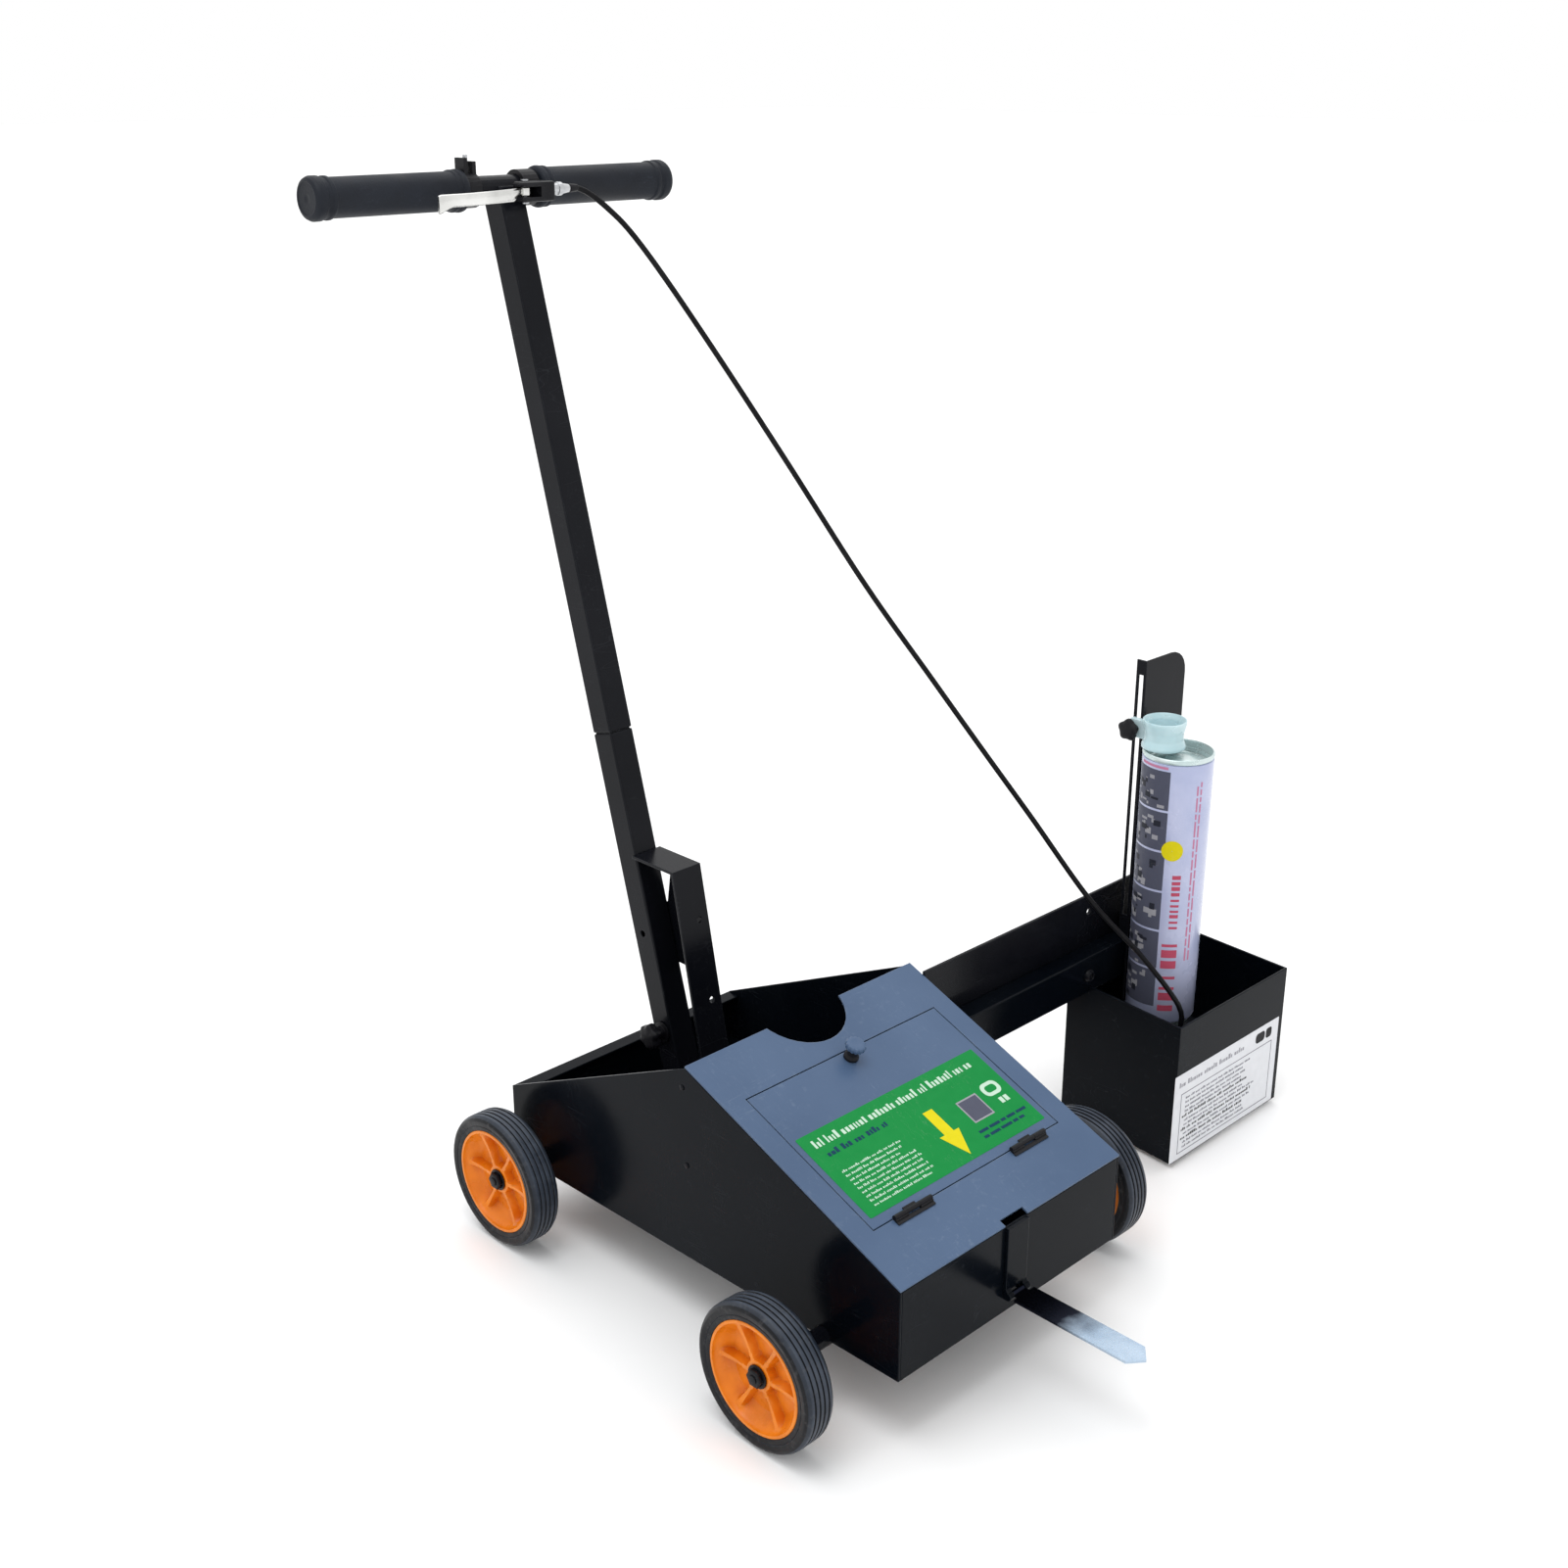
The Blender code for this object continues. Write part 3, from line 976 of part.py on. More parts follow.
def make_adjuster():
    profile = [
        (0.0048, 0), (0.0048, 0.006), (0.0057, 0.0065), (0.0057, 0.0105), (0.0046, 0.0115),
        (0.0034, 0.0190),
    ]
    frame = frame_at((ADJUSTER_X, ADJUSTER_Y, LEVER_Z + 0.001), (1, 0, 0))
    add_object("cable_adjuster", turned(profile, frame, 16), "steel", smooth=True)


def make_bar_clamp():
    """A split clamp on the bar, its two ears standing up round a screw."""
    x1 = BAR_ENDS[0] - GRIP_OVERRUN + GRIP_LENGTH + 0.0125
    x0 = x1 - 0.012
    ring = rod((x0, BAR_Y, BAR_Z), (x1, BAR_Y, BAR_Z), BAR_RADIUS + 0.0035, 24)
    clamp = add_object("bar_clamp", ring, "black_plastic")
    ears = [
        block((x0, BAR_Y - 0.0065, BAR_Z + 0.009), (x0 + 0.0036, BAR_Y + 0.0065, BAR_Z + 0.026)),
        block((x1 - 0.0036, BAR_Y - 0.0065, BAR_Z + 0.009), (x1, BAR_Y + 0.0065, BAR_Z + 0.023)),
    ]
    combine(clamp, "UNION", *ears)
    bore = rod((x0 - 0.02, BAR_Y, BAR_Z), (x1 + 0.02, BAR_Y, BAR_Z), BAR_RADIUS + GAP, 24)
    cut_with(clamp, bore)
    screw_z = BAR_Z + BAR_RADIUS + 0.0040
    middle = (x0 + x1) / 2
    screw = [(0.0016, 0), (0.0016, 0.0040), (0.0020, 0.0045), (0.0020, 0.0130), (0.0016, 0.0135)]
    add_object("clamp_screw", turned(screw, frame_at((middle, BAR_Y, screw_z)), 16), "steel", smooth=True)


def make_ferrule():
    low = SHELF_Z + SHELF_THICKNESS + GAP
    start, end = (*CABLE_STOP, low), (*CABLE_STOP, low + FERRULE_HEIGHT)
    add_object("cable_ferrule", pipe(start, end, FERRULE_RADIUS, 0.0013, 20), "steel", smooth=True)


CABLE_START = Vector((ADJUSTER_X + 0.019 + CABLE_GAP, ADJUSTER_Y, LEVER_Z + 0.001))
CABLE_END = Vector((*CABLE_STOP, CABLE_END_Z))
# The way from the start to the end, as shares of the whole step along x, y and z.
CABLE_SHARES = (
    (0.060, 0.004, 0.006),
    (0.097, 0.019, 0.020),
    (0.142, 0.051, 0.047),
    (0.192, 0.106, 0.097),
    (0.272, 0.192, 0.185),
    (0.374, 0.304, 0.303),
    (0.495, 0.435, 0.445),
    (0.603, 0.552, 0.559),
    (0.681, 0.637, 0.641),
    (0.760, 0.723, 0.723),
    (0.857, 0.828, 0.825),
    (0.940, 0.924, 0.895),
)


def cable_route():
    """Straight out of the adjuster, down in one long bow, and straight into the ferrule."""
    step = CABLE_END - CABLE_START
    middle = [CABLE_START + Vector(a * b for a, b in zip(step, shares)) for shares in CABLE_SHARES]
    above = CABLE_END + Vector((-0.0026, 0.0038, 0.036))
    near = CABLE_END + Vector((-0.0006, 0.0009, 0.012))
    return [CABLE_START, CABLE_START + Vector((0.008, 0, 0)), *middle, above, near, CABLE_END]


def smooth_route(points, spacing):
    """Points at even steps along a Catmull-Rom curve through the chosen points."""
    chosen = [Vector(p) for p in points]
    padded = [chosen[0] * 2 - chosen[1], *chosen, chosen[-1] * 2 - chosen[-2]]
    fine = []
    for a, b, c, d in zip(padded, padded[1:], padded[2:], padded[3:]):
        for step in range(24):
            t = step / 24
            fine.append(0.5 * (2 * b + (c - a) * t + (2 * a - 5 * b + 4 * c - d) * t * t
                               + (3 * b - a - 3 * c + d) * t ** 3))
    fine.append(chosen[-1])
    total = sum((q - p).length for p, q in zip(fine, fine[1:]))
    count = max(2, round(total / spacing))
    wanted = [total * i / count for i in range(count + 1)]
    out, travelled, index = [], 0.0, 0
    for target in wanted[:-1]:
        while travelled + (fine[index + 1] - fine[index]).length < target:
            travelled += (fine[index + 1] - fine[index]).length
            index += 1
        step = fine[index + 1] - fine[index]
        out.append(fine[index] + step * ((target - travelled) / step.length))
    out.append(fine[-1])
    return out


def make_cable():
    curve = bpy.data.curves.new("brake_cable", "CURVE")
    curve.dimensions = "3D"
    curve.bevel_depth = CABLE_DIAMETER / 2
    curve.bevel_resolution = 2
    curve.use_fill_caps = True
    points = smooth_route(cable_route(), CABLE_DIAMETER * 3)
    spline = curve.splines.new("POLY")
    spline.points.add(len(points) - 1)
    for knot, point in zip(spline.points, points):
        knot.co = (*point, 1)
    cable = bpy.data.objects.new("brake_cable", curve)
    cable.parent = MACHINE
    curve.materials.append(LOOKS["cable_black"])
    bpy.context.scene.collection.objects.link(cable)


# ---------------------------------------------------------------- build
def main():
    make_side_panel("side_panel_right", -1)
    make_side_panel("side_panel_left", 1)
    make_front_panel()
    make_rear_panel()
    make_floor()
    make_can_well()
    make_lid()
    make_door()
    make_hinge("right", -HINGE_X)
    make_hinge("left", HINGE_X)
    make_latch()
    make_pointer()
    make_axle("axle_front", FRONT_AXLE_Y, FRONT_WHEEL_FACE_X)
    make_axle("axle_rear", REAR_AXLE_Y, REAR_WHEEL_FACE_X)
    for name, y, face_x, side in (
        ("front_right", FRONT_AXLE_Y, FRONT_WHEEL_FACE_X, -1),
        ("front_left", FRONT_AXLE_Y, FRONT_WHEEL_FACE_X, 1),
        ("rear_right", REAR_AXLE_Y, REAR_WHEEL_FACE_X, -1),
        ("rear_left", REAR_AXLE_Y, REAR_WHEEL_FACE_X, 1),
    ):
        make_wheel(name, y, face_x, side)
    make_arm()
    make_guard()
    make_post()
    make_shelf()
    make_actuator()
    make_can()
    make_clamp()
    make_column()
    make_bracket()
    make_foot_bolt()
    make_handlebar()
    make_lever_housing()
    make_brake_lever()
    make_adjuster()
    make_bar_clamp()
    make_ferrule()
    make_cable()


main()
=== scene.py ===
"""Looks of the line striping machine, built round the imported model.

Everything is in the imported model's own frame: metres, +Z up, +Y towards the handlebar and +X towards
the spray can. Places come from the boxes of the model's pieces and from its joints.
"""

import json
import math
import random

import bmesh
import bpy
from mathutils import Matrix, Vector


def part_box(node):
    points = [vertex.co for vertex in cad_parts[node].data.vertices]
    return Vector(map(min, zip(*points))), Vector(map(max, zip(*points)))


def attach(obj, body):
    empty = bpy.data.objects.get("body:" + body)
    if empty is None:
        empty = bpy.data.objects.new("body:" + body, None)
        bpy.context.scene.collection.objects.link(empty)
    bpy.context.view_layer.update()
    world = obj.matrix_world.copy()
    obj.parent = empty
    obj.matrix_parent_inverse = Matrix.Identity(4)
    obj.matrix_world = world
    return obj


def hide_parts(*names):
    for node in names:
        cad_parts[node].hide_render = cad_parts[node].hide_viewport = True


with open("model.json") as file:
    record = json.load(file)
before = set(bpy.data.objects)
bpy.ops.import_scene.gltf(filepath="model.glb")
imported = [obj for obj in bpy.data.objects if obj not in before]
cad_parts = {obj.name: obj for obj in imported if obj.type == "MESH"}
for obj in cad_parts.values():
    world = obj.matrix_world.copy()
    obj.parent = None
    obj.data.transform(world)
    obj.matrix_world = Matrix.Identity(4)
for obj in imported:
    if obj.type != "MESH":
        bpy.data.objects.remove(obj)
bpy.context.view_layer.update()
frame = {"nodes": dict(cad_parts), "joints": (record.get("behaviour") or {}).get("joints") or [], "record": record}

X, Y, Z = Vector((1, 0, 0)), Vector((0, 1, 0)), Vector((0, 0, 1))


def middle(node):
    low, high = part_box(node)
    return (low + high) / 2


def joint_place(name):
    joint = next(j for j in frame["joints"] if j["name"] == name)
    return Vector(joint["pos_m"]), Vector(joint["axis"])


# ---------------------------------------------------------------- camera, floor and light
CAMERA_PLACE = (-1.1792, -1.0230, 0.9813)
CAMERA_DOWN = 20.69         # degrees below level
CAMERA_HEADING = 44.54      # degrees from +Y towards +X
CAMERA_LENS = 44.095        # millimetres, on a sensor 36 mm wide


def make_camera():
    data = bpy.data.cameras.new("camera")
    data.sensor_width = 36.0
    data.lens = CAMERA_LENS
    camera = bpy.data.objects.new("camera", data)
    camera.location = CAMERA_PLACE
    camera.rotation_euler = (math.radians(90 - CAMERA_DOWN), 0, math.radians(-CAMERA_HEADING))
    bpy.context.scene.collection.objects.link(camera)
    bpy.context.scene.camera = camera


def make_floor():
    mesh = bpy.data.meshes.new("floor")
    reach = 30
    corners = [(-reach, -reach, 0), (reach, -reach, 0), (reach, reach, 0), (-reach, reach, 0)]
    mesh.from_pydata(corners, [], [(0, 1, 2, 3)])
    floor = bpy.data.objects.new("floor", mesh)
    bpy.context.scene.collection.objects.link(floor)
    material = bpy.data.materials.new("floor")
    material.use_nodes = True
    shader = material.node_tree.nodes["Principled BSDF"]
    shader.inputs["Base Color"].default_value = (0.94, 0.94, 0.94, 1)
    shader.inputs["Roughness"].default_value = 0.9
    shader.inputs["Specular IOR Level"].default_value = 0.1
    mesh.materials.append(material)


def area_light(name, place, target, size, power, colour=(1, 1, 1)):
    data = bpy.data.lights.new(name, "AREA")
    data.size = size
    data.energy = power
    data.color = colour
    light = bpy.data.objects.new(name, data)
    light.location = place
    light.rotation_euler = (Vector(target) - Vector(place)).to_track_quat("-Z", "Y").to_euler()
    bpy.context.scene.collection.objects.link(light)


def make_light():
    world = bpy.data.worlds.new("studio")
    world.use_nodes = True
    back = world.node_tree.nodes["Background"]
    back.inputs["Color"].default_value = (1, 1, 1, 1)
    back.inputs["Strength"].default_value = 1.0
    bpy.context.scene.world = world
    data = bpy.data.lights.new("overhead", "SUN")
    data.energy = 0.9
    data.angle = math.radians(70)
    light = bpy.data.objects.new("overhead", data)
    light.rotation_euler = (math.radians(-18), math.radians(12), 0)
    bpy.context.scene.collection.objects.link(light)
    area_light("key", (-0.9, -0.2, 2.2), (0.0, 0.0, 0.2), 0.9, 9, (0.96, 0.98, 1.0))
    bpy.context.scene.view_settings.view_transform = "Standard"


# ---------------------------------------------------------------- materials
class Look:
    """A procedural material round a Principled shader. Textures read the piece's own coordinates, in metres."""

    def __init__(self, name, colour, roughness, metallic=0.0, **sockets):
        self.material = bpy.data.materials.new(name)
        self.material.use_nodes = True
        self.tree = self.material.node_tree
        self.shader = self.tree.nodes["Principled BSDF"]
        self.set("Base Color", (*colour, 1.0))
        self.set("Roughness", roughness)
        self.set("Metallic", metallic)
        for socket, value in sockets.items():
            self.set(socket.replace("_", " ").title().replace("Ior", "IOR"), value)

    def set(self, socket, value):
        self.feed(self.shader.inputs[socket], value)
        return self

    def feed(self, socket, value):
        if isinstance(value, bpy.types.NodeSocket):
            self.tree.links.new(value, socket)
        else:
            socket.default_value = value

    def add(self, kind, inputs=(), **settings):
        node = self.tree.nodes.new("ShaderNode" + kind)
        for key, value in settings.items():
            setattr(node, key, value)
        for key, value in dict(inputs).items():
            self.feed(node.inputs[key], value)
        return node

    def place(self, stretch=(1, 1, 1)):
        coordinates = self.add("TexCoord").outputs["Object"]
        return self.add("Mapping", {"Vector": coordinates, "Scale": stretch}).outputs["Vector"]

    def noise(self, scale, detail=3.0, stretch=(1, 1, 1)):
        inputs = {"Vector": self.place(stretch), "Scale": scale, "Detail": detail}
        return self.add("TexNoise", inputs).outputs["Fac"]

    def cells(self, scale, stretch=(1, 1, 1)):
        inputs = {"Vector": self.place(stretch), "Scale": scale}
        return self.add("TexVoronoi", inputs).outputs["Distance"]

    def between(self, value, low, high, start=0.0, end=1.0):
        """value from low to high becomes start to end, held at both ends."""
        inputs = {"Value": value, "From Min": low, "From Max": high, "To Min": start, "To Max": end}
        return self.add("MapRange", inputs).outputs["Result"]

    def times(self, a, b):
        return self.add("Math", {0: a, 1: b}, operation="MULTIPLY").outputs[0]

    def plus(self, a, b):
        return self.add("Math", {0: a, 1: b}, operation="ADD", use_clamp=True).outputs[0]

    def mix(self, share, first, second):
        node = self.add("Mix", data_type="RGBA")
        self.feed(node.inputs[0], share)
        for socket, colour in ((node.inputs[6], first), (node.inputs[7], second)):
            self.feed(socket, colour if isinstance(colour, bpy.types.NodeSocket) else (*colour, 1.0))
        return node.outputs[2]

    def lines(self, scale, stretch, thin=0.006):
        """Long fine scratches: a thin level line of stretched noise, broken up by a broader one."""
        level = self.add("Math", {0: self.noise(scale, 2.0, stretch), 1: 0.5}, operation="SUBTRACT")
        far = self.add("Math", {0: level.outputs[0]}, operation="ABSOLUTE").outputs[0]
        return self.times(self.between(far, 0, thin, 1, 0), self.between(self.noise(17, 2), 0.5, 0.6))

    def edges(self, radius=0.0011, low=0.02, high=0.22):
        """(how close to a sharp edge, the normal rounded over it)."""
        rounded = self.add("Bevel", {"Radius": radius}, samples=6).outputs["Normal"]
        normal = self.add("NewGeometry").outputs["Normal"]
        same = self.add("VectorMath", {0: rounded, 1: normal}, operation="DOT_PRODUCT").outputs["Value"]
        return self.between(same, 1 - low, 1 - high), rounded

    def bump(self, height, distance, strength=1.0, normal=None):
        inputs = {"Height": height, "Distance": distance, "Strength": strength}
        if normal is not None:
            inputs["Normal"] = normal
        return self.set("Normal", self.add("Bump", inputs).outputs["Normal"])


def coated(name, dark, light, wear_and_highlight, roughness, peel=0.00003, **sockets):
    """Sheet-metal paint: uneven gloss, orange peel, scratches and dust, and a painted highlight along sharp edges.
    """
    look = Look(name, dark, roughness[0], **sockets)
    edge, rounded = look.edges()
    cloud = look.between(look.noise(9, 5), 0.35, 0.65)
    scratch = look.plus(look.lines(3, (60, 3, 22)), look.lines(3, (3, 45, 11), 0.004))
    dust = look.times(look.between(look.noise(160, 6), 0.60, 0.78), look.between(look.noise(7, 3), 0.45, 0.7))
    # Painted highlight: sharp edges are lightened towards the pale colour, broken up by noise.
    painted_edge_highlight = look.times(edge, look.between(look.noise(55, 5), 0.40, 0.62, 0.25, 1.0))
    colour = look.mix(cloud, dark, light)
    colour = look.mix(look.times(scratch, 0.16), colour, wear_and_highlight)
    colour = look.mix(look.times(dust, 0.22), colour, wear_and_highlight)
    colour = look.mix(look.times(painted_edge_highlight, 0.75), colour, wear_and_highlight)
    look.set("Base Color", colour)
    rough = look.between(look.plus(look.times(cloud, 0.7), look.times(scratch, 0.6)), 0, 1, *roughness)
    look.set("Roughness", rough)
    look.bump(look.noise(1100, 2), peel, 0.5, rounded)
    return look.material


def moulded(name, dark, light, roughness, grain=2200, depth=0.00004, scuff_and_edge_highlight=None, **sockets):
    """Moulded plastic or rubber: fine grain, soft colour change, light scuffs, and a painted highlight along sharp
    edges.
    """
    look = Look(name, dark, roughness[0], **sockets)
    edge, rounded = look.edges(0.0005)
    cloud = look.between(look.noise(28, 5), 0.35, 0.65)
    colour = look.mix(cloud, dark, light)
    scuffs = look.times(look.lines(9, (9, 30, 30), 0.012), 0.5)
    pale_scuff_and_highlight = scuff_and_edge_highlight or [min(1.0, v * 1.6 + 0.02) for v in light]
    # Painted highlight: besides the scuff lines, sharp edges are mixed towards the pale colour.
    colour = look.mix(look.plus(scuffs, look.times(edge, 0.35)), colour, pale_scuff_and_highlight)
    look.set("Base Color", colour)
    look.set("Roughness", look.between(cloud, 0, 1, *roughness))
    look.bump(look.cells(grain), depth, 0.6, rounded)
    return look.material


def metal(name, dark, light, roughness, grain=(1, 1, 1), depth=0.00002, metallic_share=1.0, **sockets):
    """Bare or plated metal, with grain along one way, smudges and fine scratches."""
    look = Look(name, dark, roughness[0], metallic_share, **sockets)
    _, rounded = look.edges(0.0005)
    cloud = look.between(look.noise(35, 6), 0.35, 0.65)
    fine = look.noise(700, 3, grain)
    scratch = look.lines(12, (5, 40, 40), 0.01)
    smudges = look.plus(look.times(cloud, 0.8), look.times(scratch, 0.3))
    look.set("Base Color", look.mix(smudges, dark, light))
    dull = look.plus(look.times(cloud, 0.5), look.times(fine, 0.5))
    look.set("Roughness", look.between(dull, 0, 1, *roughness))
    look.bump(fine, depth, 0.5, rounded)
    return look.material


def ink(name, colour, roughness=0.38):
    """Printed ink: slightly uneven, a little rubbed."""
    look = Look(name, colour, roughness, specular_ior_level=0.12)
    cloud = look.between(look.noise(120, 6), 0.35, 0.7)
    rubbed = [v * 0.75 + 0.12 for v in colour]
    shade = look.mix(look.times(cloud, 0.25), colour, [v * 0.82 for v in colour])
    look.set("Base Color", look.mix(look.times(look.lines(8, (20, 6, 6)), 0.35), shade, rubbed))
    look.set("Roughness", look.between(cloud, 0, 1, roughness, roughness + 0.15))
    look.bump(look.noise(1500, 2), 0.00002, 0.4)
    return look.material


def pointer_steel():
    """Painted reflection: black at the root, where the strip mirrors the dark panel, and bright blue-grey steel
    towards the tip, where it mirrors the sky.
    """
    look = Look("pointer_steel", (0.5, 0.55, 0.6), 0.25, 1.0)
    root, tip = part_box("pointer")[1].y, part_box("pointer")[0].y
    along = look.add("SeparateXYZ", {0: look.add("TexCoord").outputs["Object"]}).outputs["Y"]
    share = look.between(along, root, tip)
    ragged = look.plus(share, look.times(look.between(look.noise(60, 5), 0.3, 0.7, -1, 1), 0.05))
    # Painted reflection: the share below runs the colour from near black at the root to sky-lit blue-grey at the
    # tip.
    painted_reflection_share = look.between(ragged, 0.40, 0.62)
    cloud = look.between(look.noise(40, 5), 0.35, 0.65)
    steel = look.mix(cloud, (0.36, 0.46, 0.58), (0.47, 0.57, 0.68))
    look.set("Base Color", look.mix(painted_reflection_share, (0.010, 0.012, 0.022), steel))
    look.set("Roughness", look.between(look.noise(500, 3, (12, 1, 1)), 0.3, 0.7, 0.18, 0.34))
    look.bump(look.noise(600, 3, (10, 1, 1)), 0.00002, 0.5)
    return look.material


def tyre_rubber():
    """Side walls stay deep black, and the tread has a painted sheen, greyer and bluer, with dust."""
    look = Look("rubber", (0.01, 0.01, 0.012), 0.4, specular_ior_level=0.22)
    _, rounded = look.edges(0.0004)
    turned_out = look.add("SeparateXYZ", {0: look.add("TexCoord").outputs["Normal"]}).outputs["X"]
    # Painted sheen: faces turned towards the tread get a lighter blue-grey, and faces turned sideways stay deep
    # black.
    side = look.between(look.add("Math", {0: turned_out}, operation="ABSOLUTE").outputs[0], 0.25, 0.85)
    cloud = look.between(look.noise(40, 5), 0.35, 0.65)
    tread = look.mix(cloud, (0.020, 0.027, 0.041), (0.052, 0.064, 0.086))
    dust = look.times(look.between(look.noise(240, 6), 0.55, 0.75), 0.35)
    colour = look.mix(dust, look.mix(side, tread, (0.0030, 0.0036, 0.0055)), (0.085, 0.085, 0.090))
    look.set("Base Color", colour)
    look.set("Roughness", look.between(cloud, 0, 1, 0.30, 0.50))
    look.bump(look.cells(900), 0.00006, 0.6, rounded)
    return look.material


def orange_plastic():
    """Moulded orange, with painted shade: deeper and redder in the hollows between the ribs, found by an occlusion
    mask.
    """
    look = Look("orange_plastic", (0.62, 0.17, 0.004), 0.3, specular_ior_level=0.30)
    edge, rounded = look.edges(0.0005)
    # Painted shade: the hollows that the occlusion mask finds are darkened to a deep red.
    painted_shade_ao = look.add("AmbientOcclusion", {"Distance": 0.016}, samples=8).outputs["AO"]
    cloud = look.between(look.noise(45, 5), 0.35, 0.65)
    face = look.mix(cloud, (0.66, 0.168, 0.0035), (0.80, 0.225, 0.0080))
    colour = look.mix(look.between(painted_shade_ao, 0.15, 0.80), (0.46, 0.055, 0.001), face)
    # Painted highlight: along with the scuff lines, sharp edges are mixed towards a paler orange.
    scuff_and_edge_highlight = look.plus(look.times(look.lines(9, (9, 30, 22), 0.010), 0.25), look.times(edge, 0.35))
    look.set("Base Color", look.mix(scuff_and_edge_highlight, colour, (0.90, 0.42, 0.06)))
    look.set("Roughness", look.between(cloud, 0, 1, 0.22, 0.38))
    look.bump(look.cells(1600), 0.00003, 0.6, rounded)
    return look.material


def make_looks():
    looks = {
        "gloss_black": coated("gloss_black", (0.0035, 0.004, 0.006), (0.006, 0.0065, 0.009),
                              (0.050, 0.055, 0.062), (0.16, 0.34), specular_ior_level=0.12),
        "panel_black": coated("panel_black", (0.0016, 0.0026, 0.0046), (0.0030, 0.0044, 0.0068),
                              (0.034, 0.040, 0.048), (0.14, 0.30), specular_ior_level=0.065),
        # Painted reflection: the lid's blue-grey stands for black gloss paint mirroring the sky on its upward
        # face; the latch head shares it.
        "lid_grey": coated("lid_grey", (0.050, 0.089, 0.166), (0.067, 0.111, 0.196), (0.26, 0.32, 0.40),
                           (0.30, 0.46), specular_ior_level=0.22),
        "rubber": tyre_rubber(),
        "orange_plastic": orange_plastic(),
        "black_plastic": moulded("black_plastic", (0.005, 0.005, 0.007), (0.010, 0.010, 0.012),
                                 (0.30, 0.46), specular_ior_level=0.16),
        "foam": moulded("foam", (0.0060, 0.0078, 0.0125), (0.0120, 0.0150, 0.0220), (0.45, 0.62),
                        750, 0.00018, (0.035, 0.042, 0.058), specular_ior_level=0.20),
        "steel": metal("steel", (0.42, 0.43, 0.45), (0.62, 0.63, 0.64), (0.22, 0.40)),
        "aluminium": metal("aluminium", (0.62, 0.62, 0.60), (0.82, 0.82, 0.80), (0.10, 0.26), (1, 14, 14)),
        "can_tin": metal("can_tin", (0.50, 0.62, 0.62), (0.72, 0.80, 0.79), (0.20, 0.36),
                         metallic_share=0.45),
        "can_paint": moulded("can_paint", (0.40, 0.44, 0.64), (0.48, 0.51, 0.70), (0.16, 0.30),
                             1500, 0.00001, (0.58, 0.60, 0.74), coat_weight=0.3),
        "white_plastic": moulded("white_plastic", (0.50, 0.72, 0.77), (0.64, 0.82, 0.86), (0.18, 0.32), 700,
                                 0.00003, (0.80, 0.90, 0.92), transmission_weight=0.12),
        "cable_black": moulded("cable_black", (0.003, 0.003, 0.004), (0.007, 0.007, 0.008),
                               (0.28, 0.42), 1300, specular_ior_level=0.12),
        "pointer_steel": pointer_steel(),
        "green_ink": ink("green_ink", (0.0005, 0.215, 0.040), 0.30),
        "white_ink": ink("white_ink", (0.50, 0.66, 0.54)),
        "blue_ink": ink("blue_ink", (0.002, 0.040, 0.080)),
        "yellow_ink": ink("yellow_ink", (0.66, 0.57, 0.004)),
        "paper": ink("paper", (0.72, 0.73, 0.76), 0.45),
        "grey_ink": ink("grey_ink", (0.14, 0.14, 0.17)),
        "pale_ink": ink("pale_ink", (0.30, 0.30, 0.33)),
        "black_ink": ink("black_ink", (0.008, 0.008, 0.010)),
        "photo_ink": ink("photo_ink", (0.075, 0.080, 0.115)),
        "shade_ink": ink("shade_ink", (0.020, 0.022, 0.032)),
        "red_ink": ink("red_ink", (0.46, 0.070, 0.125)),
        "pink_ink": ink("pink_ink", (0.52, 0.20, 0.32)),
    }
    return looks


LOOKS = make_looks()


# ---------------------------------------------------------------- mesh helpers
def finish_piece(name, shape, look, body, replaced=(), smooth=True, angle=32):
    """Makes an object of the bmesh, gives it its look, and lets it ride on its body."""
    bmesh.ops.recalc_face_normals(shape, faces=shape.faces)
    mesh = bpy.data.meshes.new(name)
    shape.to_mesh(mesh)
    shape.free()
    for one in (look,) if isinstance(look, str) else look:
        mesh.materials.append(LOOKS[one])
    if smooth:
        mesh.shade_smooth()
        mesh.set_sharp_from_angle(angle=math.radians(angle))
    piece = bpy.data.objects.new(name, mesh)
    bpy.context.scene.collection.objects.link(piece)
    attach(piece, body)
    if replaced:
        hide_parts(*replaced)
    return piece


def frame_at(centre, axis, side=None):
    """A frame with its Z along axis, and its X as near as can be to side."""
    z = Vector(axis).normalized()
    hint = Vector(side) if side is not None else (X if abs(z.x) < 0.9 else Y)
    y = z.cross(hint).normalized()
    x = y.cross(z)
    matrix = Matrix((x, y, z)).transposed().to_4x4()
    matrix.translation = Vector(centre)
    return matrix


def add_rings(shape, rings, loop=False, caps=True):
    """Joins rings of points with quads. Each ring is closed, and loop joins the last to the first."""
    made = [[shape.verts.new(point) for point in ring] for ring in rings]
    pairs = list(zip(made, made[1:])) + ([(made[-1], made[0])] if loop else [])
    for one, other in pairs:
        count = len(one)
        for i in range(count):
            j = (i + 1) % count
            shape.faces.new((one[i], one[j], other[j], other[i]))
    if caps and not loop:
        shape.faces.new(made[0][::-1])
        shape.faces.new(made[-1])
    return made


def turned(shape, profile, place, segments=64, loop=False, wobble=None):
    """A lathe shape of (radius, height) points. wobble(radius, angle) may change the radius."""
    rings = []
    for radius, height in profile:
        ring = []
        for i in range(segments):
            angle = math.tau * i / segments
            r = wobble(radius, angle) if wobble else radius
            ring.append(place @ Vector((r * math.cos(angle), r * math.sin(angle), height)))
        rings.append(ring)
    return add_rings(shape, rings, loop)


